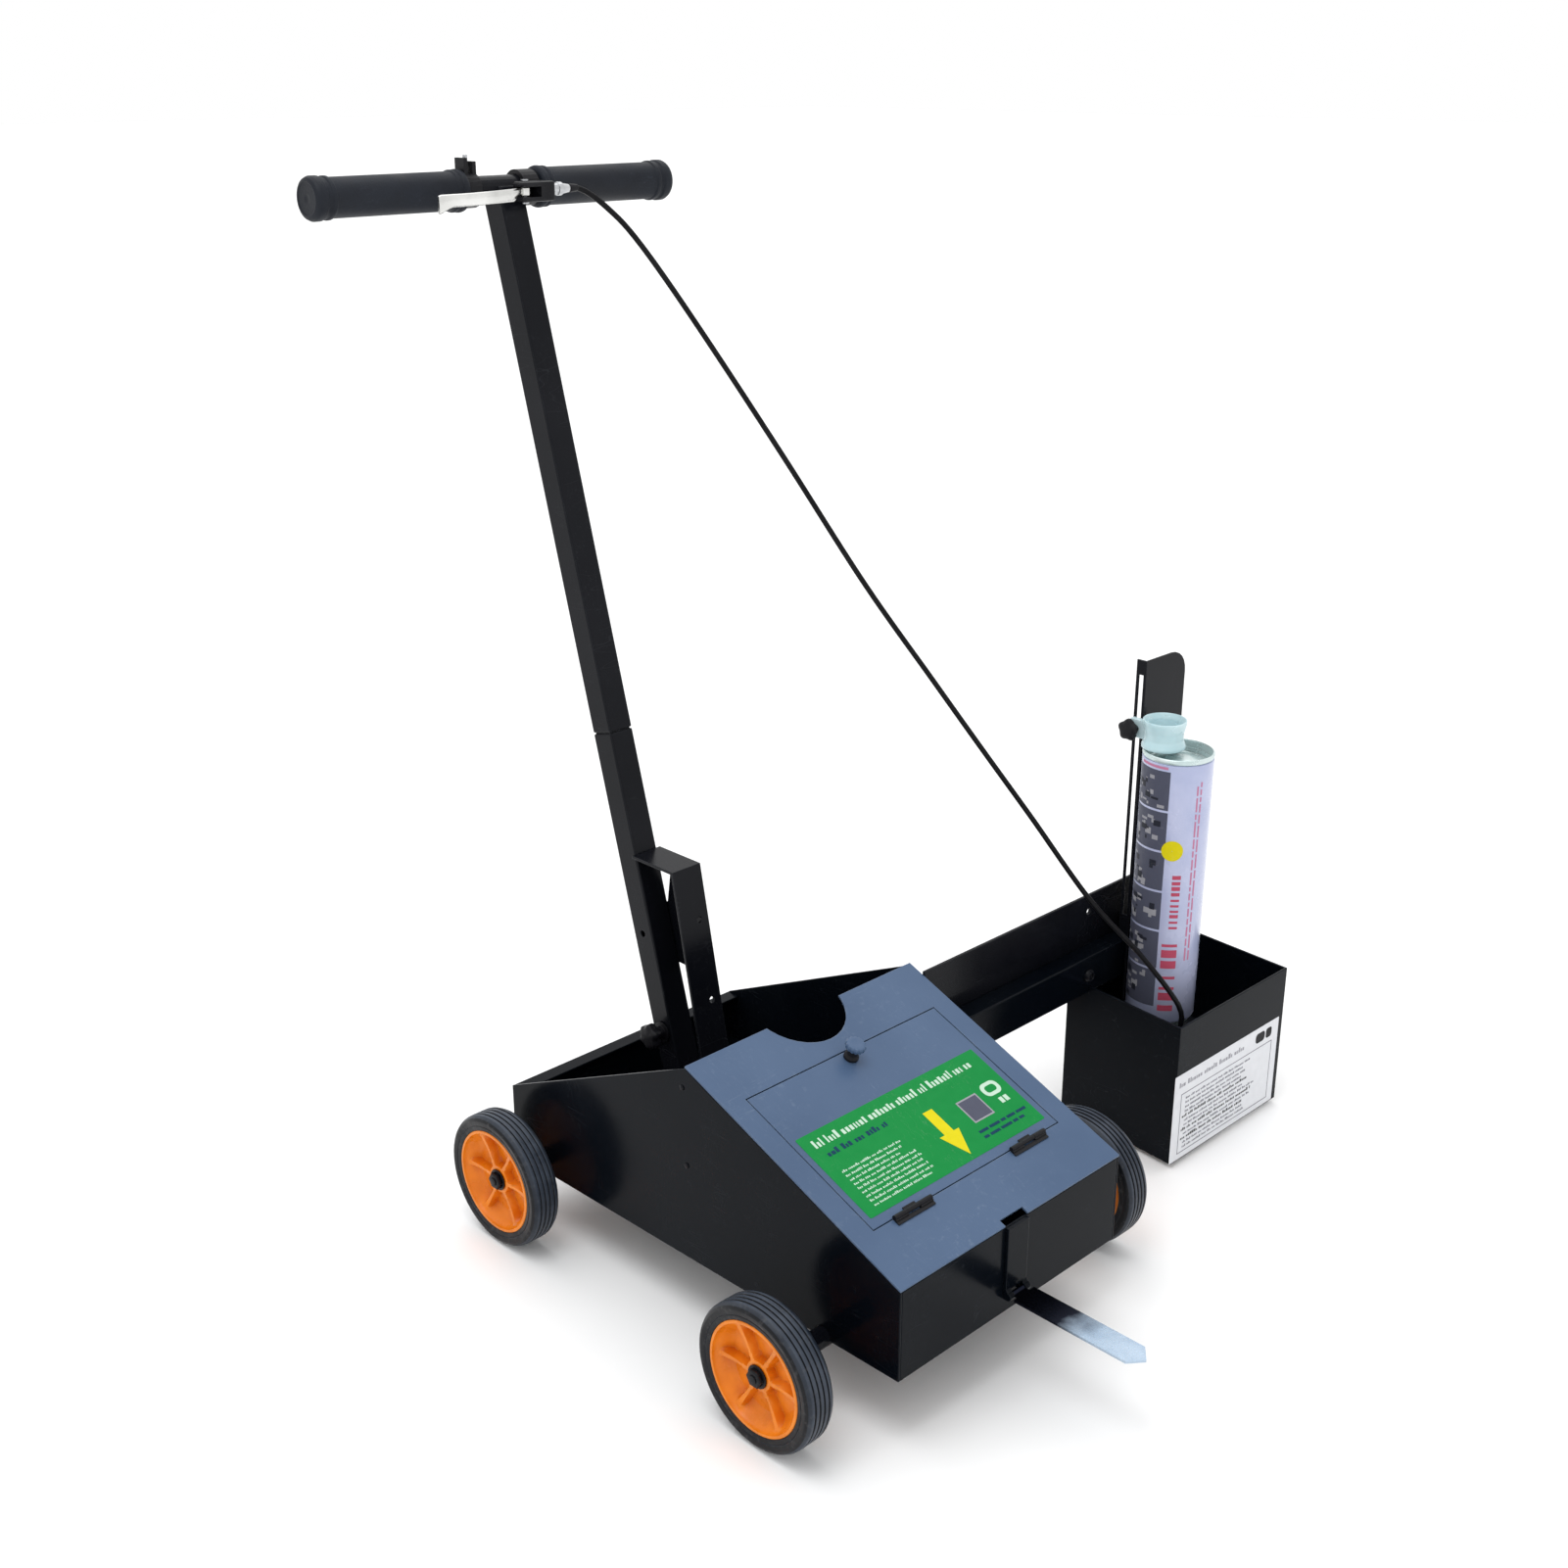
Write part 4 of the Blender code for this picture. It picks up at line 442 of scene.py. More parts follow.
def lathe(name, profile, place, look, body, replaced=(), segments=64, loop=False, wobble=None):
    shape = bmesh.new()
    turned(shape, profile, place, segments, loop, wobble)
    return finish_piece(name, shape, look, body, replaced)


def softened(points, radius, steps=3):
    """The open profile with each inner corner rounded."""
    out = [points[0]]
    for before, here, after in zip(points, points[1:], points[2:]):
        a, b, c = Vector(before), Vector(here), Vector(after)
        reach = min(radius, (a - b).length / 2.1, (c - b).length / 2.1)
        start, end = b + (a - b).normalized() * reach, b + (c - b).normalized() * reach
        for i in range(steps + 1):
            t = i / steps
            out.append(tuple(start * (1 - t) ** 2 + b * 2 * t * (1 - t) + end * t * t))
    return [*out, points[-1]]


# ---------------------------------------------------------------- wheels
TYRE_WIDTH = 0.029
TYRE_INNER = 0.0475
GROOVES = (0.0074, 0.0122, 0.0168, 0.0216)      # across the tread, from the tyre's inner side
RIBS = 6


def tyre_profile(radius):
    """One loop: tread with four grooves, round shoulders, and side walls with a moulded ring."""
    crown = 0.0005
    points = [(TYRE_INNER, 0.0020), (TYRE_INNER + 0.0035, 0.0012), (TYRE_INNER + 0.0042, 0.0018),
              (TYRE_INNER + 0.0048, 0.0010), (radius - 0.0046, 0.0004), (radius - 0.0022, 0.0016),
              (radius - crown, 0.0044)]
    for centre in GROOVES:
        points += [(radius - 0.0001, centre - 0.0009), (radius - 0.0013, centre - 0.0005),
                   (radius - 0.0013, centre + 0.0005), (radius - 0.0001, centre + 0.0009)]
    mirrored = [(r, TYRE_WIDTH - h) for r, h in points[:7]][::-1]
    return softened(points + mirrored, 0.0003, 2)


def dish_height(radius, rim):
    """Outer face of the hub between the ribs, as height above the tyre's inner face."""
    top = TYRE_WIDTH - 0.0015
    table = [(0.0, 0.0215), (0.0125, 0.0215), (0.0138, 0.0140), (0.0350, 0.0136), (0.0385, 0.0165),
             (rim - 0.0034, 0.0248), (rim - 0.0026, top), (1.0, top)]
    for (r0, h0), (r1, h1) in zip(table, table[1:]):
        if radius <= r1:
            t = (radius - r0) / (r1 - r0)
            return h0 + (h1 - h0) * t
    return top


def rib_height(radius, rim):
    share = min(1.0, max(0.0, (radius - 0.0125) / (rim - 0.0045 - 0.0125)))
    return 0.0212 - 0.0012 * math.sin(math.pi * share) + 0.0015 * share


def make_hub(name, place, body, node):
    rim = TYRE_INNER - 0.0003
    offsets = (-30, -23, -16, -10.5, -8.5, -7.2, -6.4, -3, 0, 3, 6.4, 7.2, 8.5, 10.5, 16, 23)
    angles = [math.radians(60 * rib + offset) for rib in range(RIBS) for offset in offsets]
    spread = [abs(math.sin(math.radians(offset))) for offset in offsets] * RIBS
    radii = [0.0055, 0.0095, 0.0120, 0.0126, 0.0132, 0.0140, 0.0180, 0.0240, 0.0300, 0.0345, 0.0365, 0.0385,
             0.0405, 0.0425, rim - 0.0034, rim - 0.0030, rim - 0.0026, rim - 0.0006, rim]
    rings = []
    for radius in radii:
        ring = []
        for angle, off in zip(angles, spread):
            weight = max(0.0, min(1.0, (0.0034 - off * radius) / 0.0014))
            low = dish_height(radius, rim)
            high = max(low, rib_height(radius, rim))
            height = low + (high - low) * weight
            if radius == rim or radius < 0.006:
                height -= 0.0006
            ring.append(place @ Vector((radius * math.cos(angle), radius * math.sin(angle), height)))
        rings.append(ring)
    inner = [(rim, 0.0061), (rim - 0.0006, 0.0055), (rim - 0.0028, 0.0055), (rim - 0.0036, 0.0112),
             (0.0112, 0.0112), (0.0108, 0.0060), (0.0100, 0.0055), (0.0055, 0.0055)]
    for radius, height in inner:
        rings.append([place @ Vector((radius * math.cos(a), radius * math.sin(a), height)) for a in angles])
    shape = bmesh.new()
    add_rings(shape, rings, loop=True)
    finish_piece(name, shape, "orange_plastic", body, [node])


def make_wheel(corner, side):
    body = "wheel_" + corner
    low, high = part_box("tyre_" + corner)
    radius = (high.z - low.z) / 2
    centre = (low + high) / 2
    base = centre - X * (side * TYRE_WIDTH / 2)
    place = frame_at(base, X * side, Y)
    profile = tyre_profile(radius)
    lathe(corner + "_tyre", profile, place, "rubber", body, ["tyre_" + corner], 112, True)
    make_hub(corner + "_hub", place, body, "hub_" + corner)
    shape = bmesh.new()
    washer = [(0.0055, 0.0220), (0.0094, 0.0220), (0.0097, 0.0225), (0.0094, 0.0231), (0.0055, 0.0231)]
    turned(shape, washer, place, 40, loop=True)
    nut = [(0.0, 0.0234), (0.0078, 0.0234), (0.0080, 0.0262), (0.0066, 0.0272), (0.0, 0.0272)]
    nut = softened(nut, 0.0004, 2)
    turned(shape, nut[1:-1], place, 6)
    stud = softened([(0.0, 0.0274), (0.0040, 0.0274), (0.0038, 0.0283), (0.0, 0.0286)], 0.0004, 2)
    turned(shape, stud[1:-1], place, 24)
    finish_piece(corner + "_nut", shape, "black_plastic", body, ["hub_cap_" + corner])


# ---------------------------------------------------------------- handle
def make_grip(side_name, side):
    node = "grip_" + side_name
    low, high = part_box(node)
    length = high.x - low.x
    r = (high.z - low.z) / 2
    inner = Vector((low.x if side > 0 else high.x, middle(node).y, middle(node).z))
    bore = 0.0113
    profile = [(bore, 0.0), (r - 0.0030, 0.0), (r - 0.0006, 0.0012), (r, 0.0035), (r - 0.0002, 0.0062),
               (r - 0.0014, 0.0070), (r - 0.0014, 0.0080), (r - 0.0004, 0.0086), (r - 0.0004, 0.0112),
               (r - 0.0016, 0.0120), (r - 0.0016, length - 0.0190), (r - 0.0004, length - 0.0182),
               (r - 0.0004, length - 0.0150), (r - 0.0014, length - 0.0144), (r - 0.0014, length - 0.0110),
               (r, length - 0.0100), (r, length - 0.0040), (r - 0.0014, length - 0.0012), (r - 0.0042, length),
               (r - 0.0052, length - 0.0008), (0.0040, length - 0.0008), (0.0015, length - 0.0014)]
    profile = softened(profile, 0.0005, 2)
    place = frame_at(inner, X * side, Z)
    shape = bmesh.new()
    rings = turned(shape, profile, place, 72)
    # The inner end is open, so the bar enters a bore that ends inside the grip.
    caps = [face for face in rings[0][0].link_faces if len(face.verts) > 4]
    bmesh.ops.delete(shape, geom=caps, context="FACES_ONLY")
    deep = []
    for i in range(72):
        angle = math.tau * i / 72
        deep.append(shape.verts.new(place @ Vector((bore * math.cos(angle), bore * math.sin(angle),
                                                    length - 0.007))))
    for i in range(72):
        j = (i + 1) % 72
        shape.faces.new((rings[0][i], rings[0][j], deep[j], deep[i]))
    shape.faces.new(deep)
    finish_piece(node.replace("grip", "handgrip"), shape, "foam", "chassis", [node])


def make_lever():
    """A cast blade that bows forward, deepens, and turns down at its tip."""
    pivot = middle("lever_pin")
    root = pivot.x - 0.004
    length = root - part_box("brake_lever")[0].x - 0.003
    stations, points_round = 36, 20
    rings = []
    for i in range(stations + 1):
        share = i / stations
        x = root - length * share
        y = pivot.y - 0.0015 - 0.020 * math.sin(math.pi * share * 0.58)
        neck = min(1.0, max(0.0, (share - 0.065) / 0.07))
        droop = max(0.0, (share - 0.86) / 0.14)
        top = pivot.z + 0.0034 - 0.0006 * share
        bottom = pivot.z - 0.0034 - 0.0040 * neck - 0.0060 * droop ** 1.5
        thick = 0.0017 + 0.0006 * math.sin(math.pi * share) + 0.0009 * droop
        if i in (0, stations):
            thick *= 0.55
            top, bottom = top - 0.0008, bottom + 0.0008
        centre, half = (top + bottom) / 2, (top - bottom) / 2
        ring = []
        for k in range(points_round):
            angle = math.tau * k / points_round
            c, s = math.cos(angle), math.sin(angle)
            across = math.copysign(abs(c) ** 0.75, c) * thick
            ring.append(Vector((x, y + across, centre + math.copysign(abs(s) ** 0.55, s) * half)))
        rings.append(ring)
    shape = bmesh.new()
    add_rings(shape, rings)
    finish_piece("lever_blade", shape, "aluminium", "lever", ["brake_lever"], angle=50)
    boss = softened([(0.0022, -0.0036), (0.0046, -0.0036), (0.0049, -0.0030), (0.0049, 0.0030),
                     (0.0046, 0.0036), (0.0022, 0.0036)], 0.0004, 2)
    lathe("lever_boss", boss, frame_at(pivot, Z), "aluminium", "lever", (), 40, True)


def make_knob(name, place, stem, head, look, body, replaced, lobes=5):
    """A knob whose head has finger lobes: stem and head are (radius, height) profiles."""
    shape = bmesh.new()
    turned(shape, stem, place, 32)
    depth = 0.09

    def lobed(radius, angle):
        return radius * (1 + depth * math.cos(lobes * angle)) if radius > 0.004 else radius

    turned(shape, softened(head, 0.0008, 3), place, 70, wobble=lobed)
    finish_piece(name, shape, look, body, replaced, angle=40)


def hex_bolt(name, node, axis, look="steel", radius=0.0056):
    """A chamfered hex head on a washer, where the model's bolt head is."""
    low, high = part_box(node)
    centre = (low + high) / 2
    along = Vector(axis)
    outer = max(low.dot(along), high.dot(along))
    seat = centre + along * (outer - 0.0042 - centre.dot(along))
    place = frame_at(seat, along, Z)
    shape = bmesh.new()
    washer = [(0.0016, 0.0), (0.0074, 0.0), (0.0076, 0.0004), (0.0073, 0.0008), (0.0016, 0.0008)]
    turned(shape, washer, place, 36)
    turned(shape, [(0.0016, 0.0010), (radius, 0.0010), (radius, 0.0036), (radius - 0.0009, 0.0042),
                   (0.0016, 0.0042)], place, 6)
    turned(shape, [(0.0029, -0.0072), (0.0029, -0.0002)], place, 20)
    finish_piece(name, shape, look, "chassis", [node], angle=25)


def round_bolt(name, node, place_axis, look="gloss_black", radius=0.0066):
    """A domed head with a round socket."""
    low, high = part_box(node)
    centre = (low + high) / 2
    along = Vector(place_axis)
    outer = max(low.dot(along), high.dot(along))
    seat = centre + along * (outer - 0.0044 - centre.dot(along))
    place = frame_at(seat, along, Z)
    shape = bmesh.new()
    dome = [(0.0020, 0.0), (radius, 0.0), (radius, 0.0012), (radius - 0.0010, 0.0030), (0.0044, 0.0043),
            (0.0030, 0.0044), (0.0028, 0.0040), (0.0026, 0.0022), (0.0010, 0.0020)]
    turned(shape, dome, place, 36)
    finish_piece(name, shape, look, "chassis", [node], angle=35)


# ---------------------------------------------------------------- can and its holder
def make_can():
    low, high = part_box("spray_can")
    centre = (low + high) / 2
    r = (high.x - low.x) / 2
    place = Matrix.Translation((centre.x, centre.y, 0))
    top, shoulder = high.z, low.z + 0.0305
    body = [(r - 0.0008, shoulder - 0.0005), (r, shoulder + 0.0012), (r, top - 0.0062),
            (r - 0.0009, top - 0.0056), (r - 0.0022, top - 0.0056), (r - 0.0030, shoulder)]
    lathe("can_sleeve", body, place, "can_paint", "chassis", ["spray_can"], 112, True)
    base = softened([
        (r - 0.0012, top - 0.0054), (r - 0.0002, top - 0.0048), (r + 0.0002, top - 0.0034),
        (r + 0.0001, top - 0.0010), (r - 0.0010, top), (r - 0.0021, top - 0.0010), (r - 0.0034, top - 0.0100),
        (r - 0.0062, top - 0.0122),
        (r - 0.0110, top - 0.0108), (0.0120, top - 0.0072), (0.0040, top - 0.0062), (0.0040, top - 0.0072),
        (0.0120, top - 0.0082), (r - 0.0110, top - 0.0118), (r - 0.0062, top - 0.0132),
        (r - 0.0044, top - 0.0110),
        (r - 0.0034, top - 0.0070),
    ], 0.0008, 3)
    shape = bmesh.new()
    turned(shape, base, place, 112, True)
    finish_piece("can_base_ring", shape, "can_tin", "chassis")
    disc = [(0.0010, top - 0.0072), (0.0050, top - 0.0071), (0.0050, top - 0.0061), (0.0010, top - 0.0060)]
    lathe("can_base_centre", disc, place, "can_tin", "chassis", (), 48)
    neck = softened([
        (r - 0.0012, shoulder - 0.0008), (r - 0.0040, shoulder - 0.0052), (0.0245, shoulder - 0.0125),
        (0.0160, shoulder - 0.0205), (0.0150, shoulder - 0.0230), (0.0124, shoulder - 0.0238),
        (0.0122, low.z + 0.0040), (0.0060, low.z + 0.0030), (0.0048, low.z + 0.0002),
        (0.0024, low.z + 0.0002), (0.0024, low.z + 0.0060), (0.0110, low.z + 0.0068),
        (0.0140, shoulder - 0.0215), (0.0238, shoulder - 0.0110),
        (r - 0.0050, shoulder - 0.0042), (r - 0.0026, shoulder - 0.0006),
    ], 0.0007, 2)
    lathe("can_shoulder", neck, place, "can_tin", "chassis", (), 112, True)
    return centre, r


FACING = math.radians(213)      # the way that the printed front of the can faces


def can_print(name, look, centre, radius, patches):
    """Thin printed patches: (start, end) round the can from its front line, and (low, high), in metres."""
    shape = bmesh.new()
    inner, outer = radius + 0.00005, radius + 0.00016
    for start, end, low, high in patches:
        steps = max(1, math.ceil((end - start) / 0.0015))
        rings = []
        for i in range(steps + 1):
            angle = FACING + (start + (end - start) * i / steps) / radius
            c, s = math.cos(angle), math.sin(angle)
            rings.append([Vector((centre.x + c * r, centre.y + s * r, z))
                          for r, z in ((inner, low), (outer, low), (outer, high), (inner, high))])
        add_rings(shape, rings)
    finish_piece(name, shape, look, "chassis")


def can_dot(name, look, centre, radius, around, height, size):
    """A thin round spot bent round the can, as rings from its outer face to its inner one."""
    front, back = radius + 0.00030, radius + 0.00006
    middle_angle = FACING + around / radius
    rings = []
    for r, share in ((back, 1.0), (front, 1.0), (front, 0.66), (front, 0.33), (front, 0.03),
                     (back, 0.03), (back, 0.33), (back, 0.66)):
        ring = []
        for i in range(48):
            turn = math.tau * i / 48
            angle = middle_angle + size * share * math.cos(turn) / radius
            ring.append(Vector((centre.x + r * math.cos(angle), centre.y + r * math.sin(angle),
                                height + size * share * math.sin(turn))))
        rings.append(ring)
    shape = bmesh.new()
    add_rings(shape, rings, loop=True)
    finish_piece(name, shape, look, "chassis")


def print_can(centre, radius, top):
    chance = random.Random(7)
    low = 0.128
    pictures, tint, dark, step = [], [], [], 0.0400
    z = top - 0.012
    while z - step > low:
        pictures.append((-0.0455, -0.0055, z - step + 0.0022, z))
        for group in (tint, tint, dark):
            for _ in range(5):
                x0 = chance.uniform(-0.0450, -0.0160)
                z0 = chance.uniform(z - step + 0.0026, z - 0.0080)
                group.append((x0, x0 + chance.uniform(0.002, 0.008), z0, z0 + chance.uniform(0.0015, 0.0065)))
        z -= step
    can_print("can_pictures", "photo_ink", centre, radius, pictures)
    can_print("can_picture_marks", "pale_ink", centre, radius + 0.00012, tint)
    can_print("can_picture_shadows", "shade_ink", centre, radius + 0.00024, dark)
    bars = []
    for i in range(7):
        start = low + 0.002 + i * 0.0112
        bars.append((-0.0020, 0.0125, start, start + chance.choice((0.0028, 0.0060, 0.0080))))
    for i in range(10):
        start = low + 0.088 + i * 0.0056
        bars.append((0.0030, 0.0110, start, start + chance.choice((0.0022, 0.0034, 0.0040))))
    can_print("can_bars", "red_ink", centre, radius, bars)
    lines = []
    for column in (0.0205, 0.0245):
        z = 0.182
        while z < top - 0.024:
            length = chance.uniform(0.004, 0.016)
            lines.append((column, column + 0.0017, z, z + length))
            z += length + 0.0022
    can_print("can_small_lines", "pink_ink", centre, radius, lines)
    can_print("can_top_line", "pink_ink", centre, radius, [(-0.040, -0.008, top - 0.0100, top - 0.0076)])
    can_dot("can_dot", "yellow_ink", centre, radius, 0.0010, 0.295, 0.0100)


PAD_RIM_RADIUS = 0.0203


def make_pad():
    """The clear cup that presses on the upturned can, and the lug that carries its stud."""
    low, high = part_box("can_pad")
    r = PAD_RIM_RADIUS
    centre = Vector((low.x + r, low.y + r, 0))
    height = high.z - low.z
    cup = softened([
        (0.0030, low.z + 0.0002), (r, low.z), (r + 0.0001, low.z + 0.0026), (r - 0.0024, low.z + 0.0085),
        (r - 0.0020, low.z + height * 0.55), (r, high.z - 0.0028), (r, high.z), (r - 0.0016, high.z),
        (r - 0.0036, high.z - 0.0050), (r - 0.0040, low.z + height * 0.5), (r - 0.0044, low.z + 0.0090),
        (r - 0.0060, low.z + 0.0060), (0.0030, low.z + 0.0052),
    ], 0.0009, 3)
    place = Matrix.Translation(centre)
    shape = bmesh.new()
    turned(shape, cup, place, 80)
    rib = [(0.0024, low.z + 0.0054), (0.0030, low.z + 0.0120), (0.0012, low.z + 0.0126)]
    turned(shape, rib, place, 24)
    finish_piece("pad_cup", shape, "white_plastic", "can_holder", ["can_pad"])
    stud, _ = joint_place("holder_knob_turn")
    rings = []
    for x, inset, hole in ((-0.0059, 0, 0), (-0.0063, 0.0004, 0), (-0.0063, 0, 0.0030), (-0.0003, 0, 0.0030),
                           (-0.0003, 0.0004, 0), (-0.0007, 0, 0)):
        ring = []
        for i in range(64):
            c, s = math.cos(math.tau * (i + 0.5) / 64), math.sin(math.tau * (i + 0.5) / 64)
            reach = min((0.0043 if c > 0 else 0.0129) / abs(c), 0.0088 / abs(s)) - inset
            ring.append(stud + Vector((x, c * (hole or reach), s * (hole or reach))))
        rings.append(ring)
    shape = bmesh.new()
    add_rings(shape, rings, loop=True)
    finish_piece("pad_lug", shape, "white_plastic", "can_holder")


# ---------------------------------------------------------------- labels
def sheet_patches(name, look, body, base, across, up, out, patches, lift, thick=0.00012):
    """Flat printed patches on a plane. A patch is a list of (across, up) corners."""
    shape = bmesh.new()
    for patch in patches:
        low = [base + across * a + up * b + out * lift for a, b in patch]
        add_rings(shape, [low, [p + out * thick for p in low]])
    finish_piece(name, shape, look, body, smooth=False)


def box_patch(a0, b0, a1, b1):
    return [(a0, b0), (a1, b0), (a1, b1), (a0, b1)]


def round_patch(a0, b0, a1, b1, radius, steps=6):
    points = []
    for ca, cb, start in ((a1 - radius, b1 - radius, 0), (a0 + radius, b1 - radius, 90),
                          (a0 + radius, b0 + radius, 180), (a1 - radius, b0 + radius, 270)):
        for i in range(steps + 1):
            angle = math.radians(start + 90 * i / steps)
            points.append((ca + radius * math.cos(angle), cb + radius * math.sin(angle)))
    return points


def dashes(chance, a0, a1, b, height, longest, gap, raggedness=0.0):
    """A line of blank bars of uneven length, standing for a line of print."""
    out, a, end = [], a0, a1 - chance.random() * raggedness
    while a < end:
        length = min(chance.uniform(longest * 0.35, longest), end - a)
        if length > height * 0.6:
            out.append(box_patch(a, b, a + length, b + height))
        a += length + gap
    return out


def words(chance, a0, a1, b, height, stroke, gap):
    """A line of unreadable small blocks, grouped like words."""
    out, a, left = [], a0, 3
    while a + stroke < a1:
        width = stroke * chance.choice((0.7, 1.0, 1.3))
        tall = height * chance.choice((0.62, 0.62, 0.80, 1.0))
        out.append(box_patch(a, b, a + width, b + tall))
        a += width + gap
        left -= 1
        if not left:
            a += stroke * 1.1
            left = chance.choice((3, 4, 6, 7))
    return out


LATCH_FROM_EDGE = 0.1915        # up the lid, from its front edge
LABEL_LIFT = 0.00008            # of a label from its sheet
LABEL_LAYER = 0.00013           # of each layer of print from the one below


def make_door_label():
    latch, normal = joint_place("latch_turn")
    up = Vector((0, normal.z, -normal.y))
    base = latch - up * LATCH_FROM_EDGE
    chance = random.Random(11)

    def put(name, look, patches, layer):
        lift = LABEL_LIFT + LABEL_LAYER * layer
        sheet_patches(name, look, "door", base, X, up, normal, patches, lift)

    left, right, low, high = -0.1055, 0.1045, 0.0600, 0.1475
    put("label_sheet", "green_ink", [round_patch(left, low, right, high, 0.0015)], 0)
    title = words(chance, left + 0.010, right - 0.012, high - 0.0150, 0.0080, 0.0023, 0.0016)
    put("label_title", "white_ink", title, 1)
    subtitle = words(chance, left + 0.014, -0.022, high - 0.0262, 0.0056, 0.0030, 0.0010)
    put("label_subtitle", "blue_ink", subtitle, 1)
    rows = []
    for i in range(9):
        end = -0.020 - chance.random() * 0.020
        rows += words(chance, left + 0.012, end, low + 0.0440 - i * 0.0046, 0.0022, 0.0011, 0.0006)
    put("label_rows", "white_ink", rows, 1)
    arrow = [(0.0105, low + 0.0560), (0.0105, low + 0.0300), (0.0045, low + 0.0300), (0.0160, low + 0.0050),
             (0.0275, low + 0.0300), (0.0215, low + 0.0300), (0.0215, low + 0.0560)]
    put("label_arrow", "yellow_ink", [arrow], 1)
    put("label_square", "pale_ink", [box_patch(0.0445, low + 0.0260, 0.0690, low + 0.0500)], 1)
    put("label_square_face", "photo_ink", [box_patch(0.0460, low + 0.0275, 0.0675, low + 0.0485)], 2)
    mark = [round_patch(0.0760, low + 0.0400, 0.0960, low + 0.0540, 0.006)]
    put("label_mark", "white_ink", mark, 1)
    put("label_mark_hole", "green_ink", [round_patch(0.0800, low + 0.0435, 0.0920, low + 0.0505, 0.003)], 2)
    under = dashes(chance, 0.0750, 0.0980, low + 0.0300, 0.0060, 0.006, 0.0015)
    put("label_mark_line", "white_ink", under, 1)
    foot = dashes(chance, 0.0400, 0.0980, low + 0.0160, 0.0026, 0.014, 0.002)
    foot += dashes(chance, 0.0400, 0.0900, low + 0.0100, 0.0026, 0.014, 0.002)
    put("label_foot", "blue_ink", foot, 1)


def make_guard_label():
    low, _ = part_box("spray_guard")
    base = Vector((low.x, low.y, 0))
    chance = random.Random(5)

    def put(name, look, patches, layer):
        lift = LABEL_LIFT + LABEL_LAYER * layer
        sheet_patches(name, look, "chassis", base, X, Z, -Y, patches, lift)

    left, right, bottom, top = 0.0015, 0.1775, 0.0060, 0.0985
    put("guard_label_sheet", "paper", [round_patch(left, bottom, right, top, 0.001)], 0)
    border = 0.0007
    x0, x1, z0, z1 = left + 0.012, right - 0.010, bottom + 0.006, top - 0.022
    put("guard_label_frame", "grey_ink", [
        box_patch(x0, z0, x1, z0 + border), box_patch(x0, z1 - border, x1, z1),
        box_patch(x0, z0 + border, x0 + border, z1 - border),
        box_patch(x1 - border, z0 + border, x1, z1 - border),
    ], 1)
    put("guard_label_mark", "black_ink",
        [round_patch(right - 0.040, top - 0.0165, right - 0.024, top - 0.0060, 0.004),
         round_patch(right - 0.022, top - 0.0165, right - 0.012, top - 0.0060, 0.003)], 1)
    rows, dark = [], []
    for i in range(12):
        z = z1 - 0.0075 - i * 0.0048
        height = 0.0024
        end = x1 - 0.008 - chance.random() * 0.045
        if i in (4, 7, 9):
            dark += words(chance, x0 + 0.004, end, z, height + 0.0006, 0.0018, 0.0009)
        else:
            rows += words(chance, x0 + 0.008, end, z, height, 0.0014, 0.0008)
    put("guard_label_rows", "grey_ink", rows, 1)
    put("guard_label_dark_rows", "black_ink", dark, 1)
    head = words(chance, left + 0.008, right - 0.060, top - 0.0140, 0.0052, 0.0026, 0.0012)
    put("guard_label_head", "pale_ink", head, 1)


# ---------------------------------------------------------------- cable
CABLE_DIAMETER = 0.005
CABLE_GAP = 0.0008
CABLE_SHARES = (
    (0.060, 0.004, 0.006),
    (0.097, 0.019, 0.020),
    (0.142, 0.051, 0.047),
    (0.192, 0.106, 0.097),
    (0.272, 0.192, 0.185),
    (0.374, 0.304, 0.303),
    (0.495, 0.435, 0.445),
    (0.603, 0.552, 0.559),
    (0.681, 0.637, 0.641),
    (0.760, 0.723, 0.723),
    (0.857, 0.828, 0.825),
    (0.940, 0.924, 0.895),
)


def smooth_route(points, spacing):
    """Points at even steps along a Catmull-Rom curve through the chosen points."""
    padded = [points[0] * 2 - points[1], *points, points[-1] * 2 - points[-2]]
    fine = []
    for a, b, c, d in zip(padded, padded[1:], padded[2:], padded[3:]):
        for step in range(24):
            t = step / 24
            fine.append(0.5 * (2 * b + (c - a) * t + (2 * a - 5 * b + 4 * c - d) * t * t
                               + (3 * b - a - 3 * c + d) * t ** 3))
    fine.append(points[-1])
    total = sum((q - p).length for p, q in zip(fine, fine[1:]))
    count = max(2, round(total / spacing))
    out, travelled, index = [], 0.0, 0
    for i in range(count):
        target = total * i / count
        while travelled + (fine[index + 1] - fine[index]).length < target:
            travelled += (fine[index + 1] - fine[index]).length
            index += 1
        step = fine[index + 1] - fine[index]
        out.append(fine[index] + step * ((target - travelled) / step.length))
    return [*out, points[-1]], total


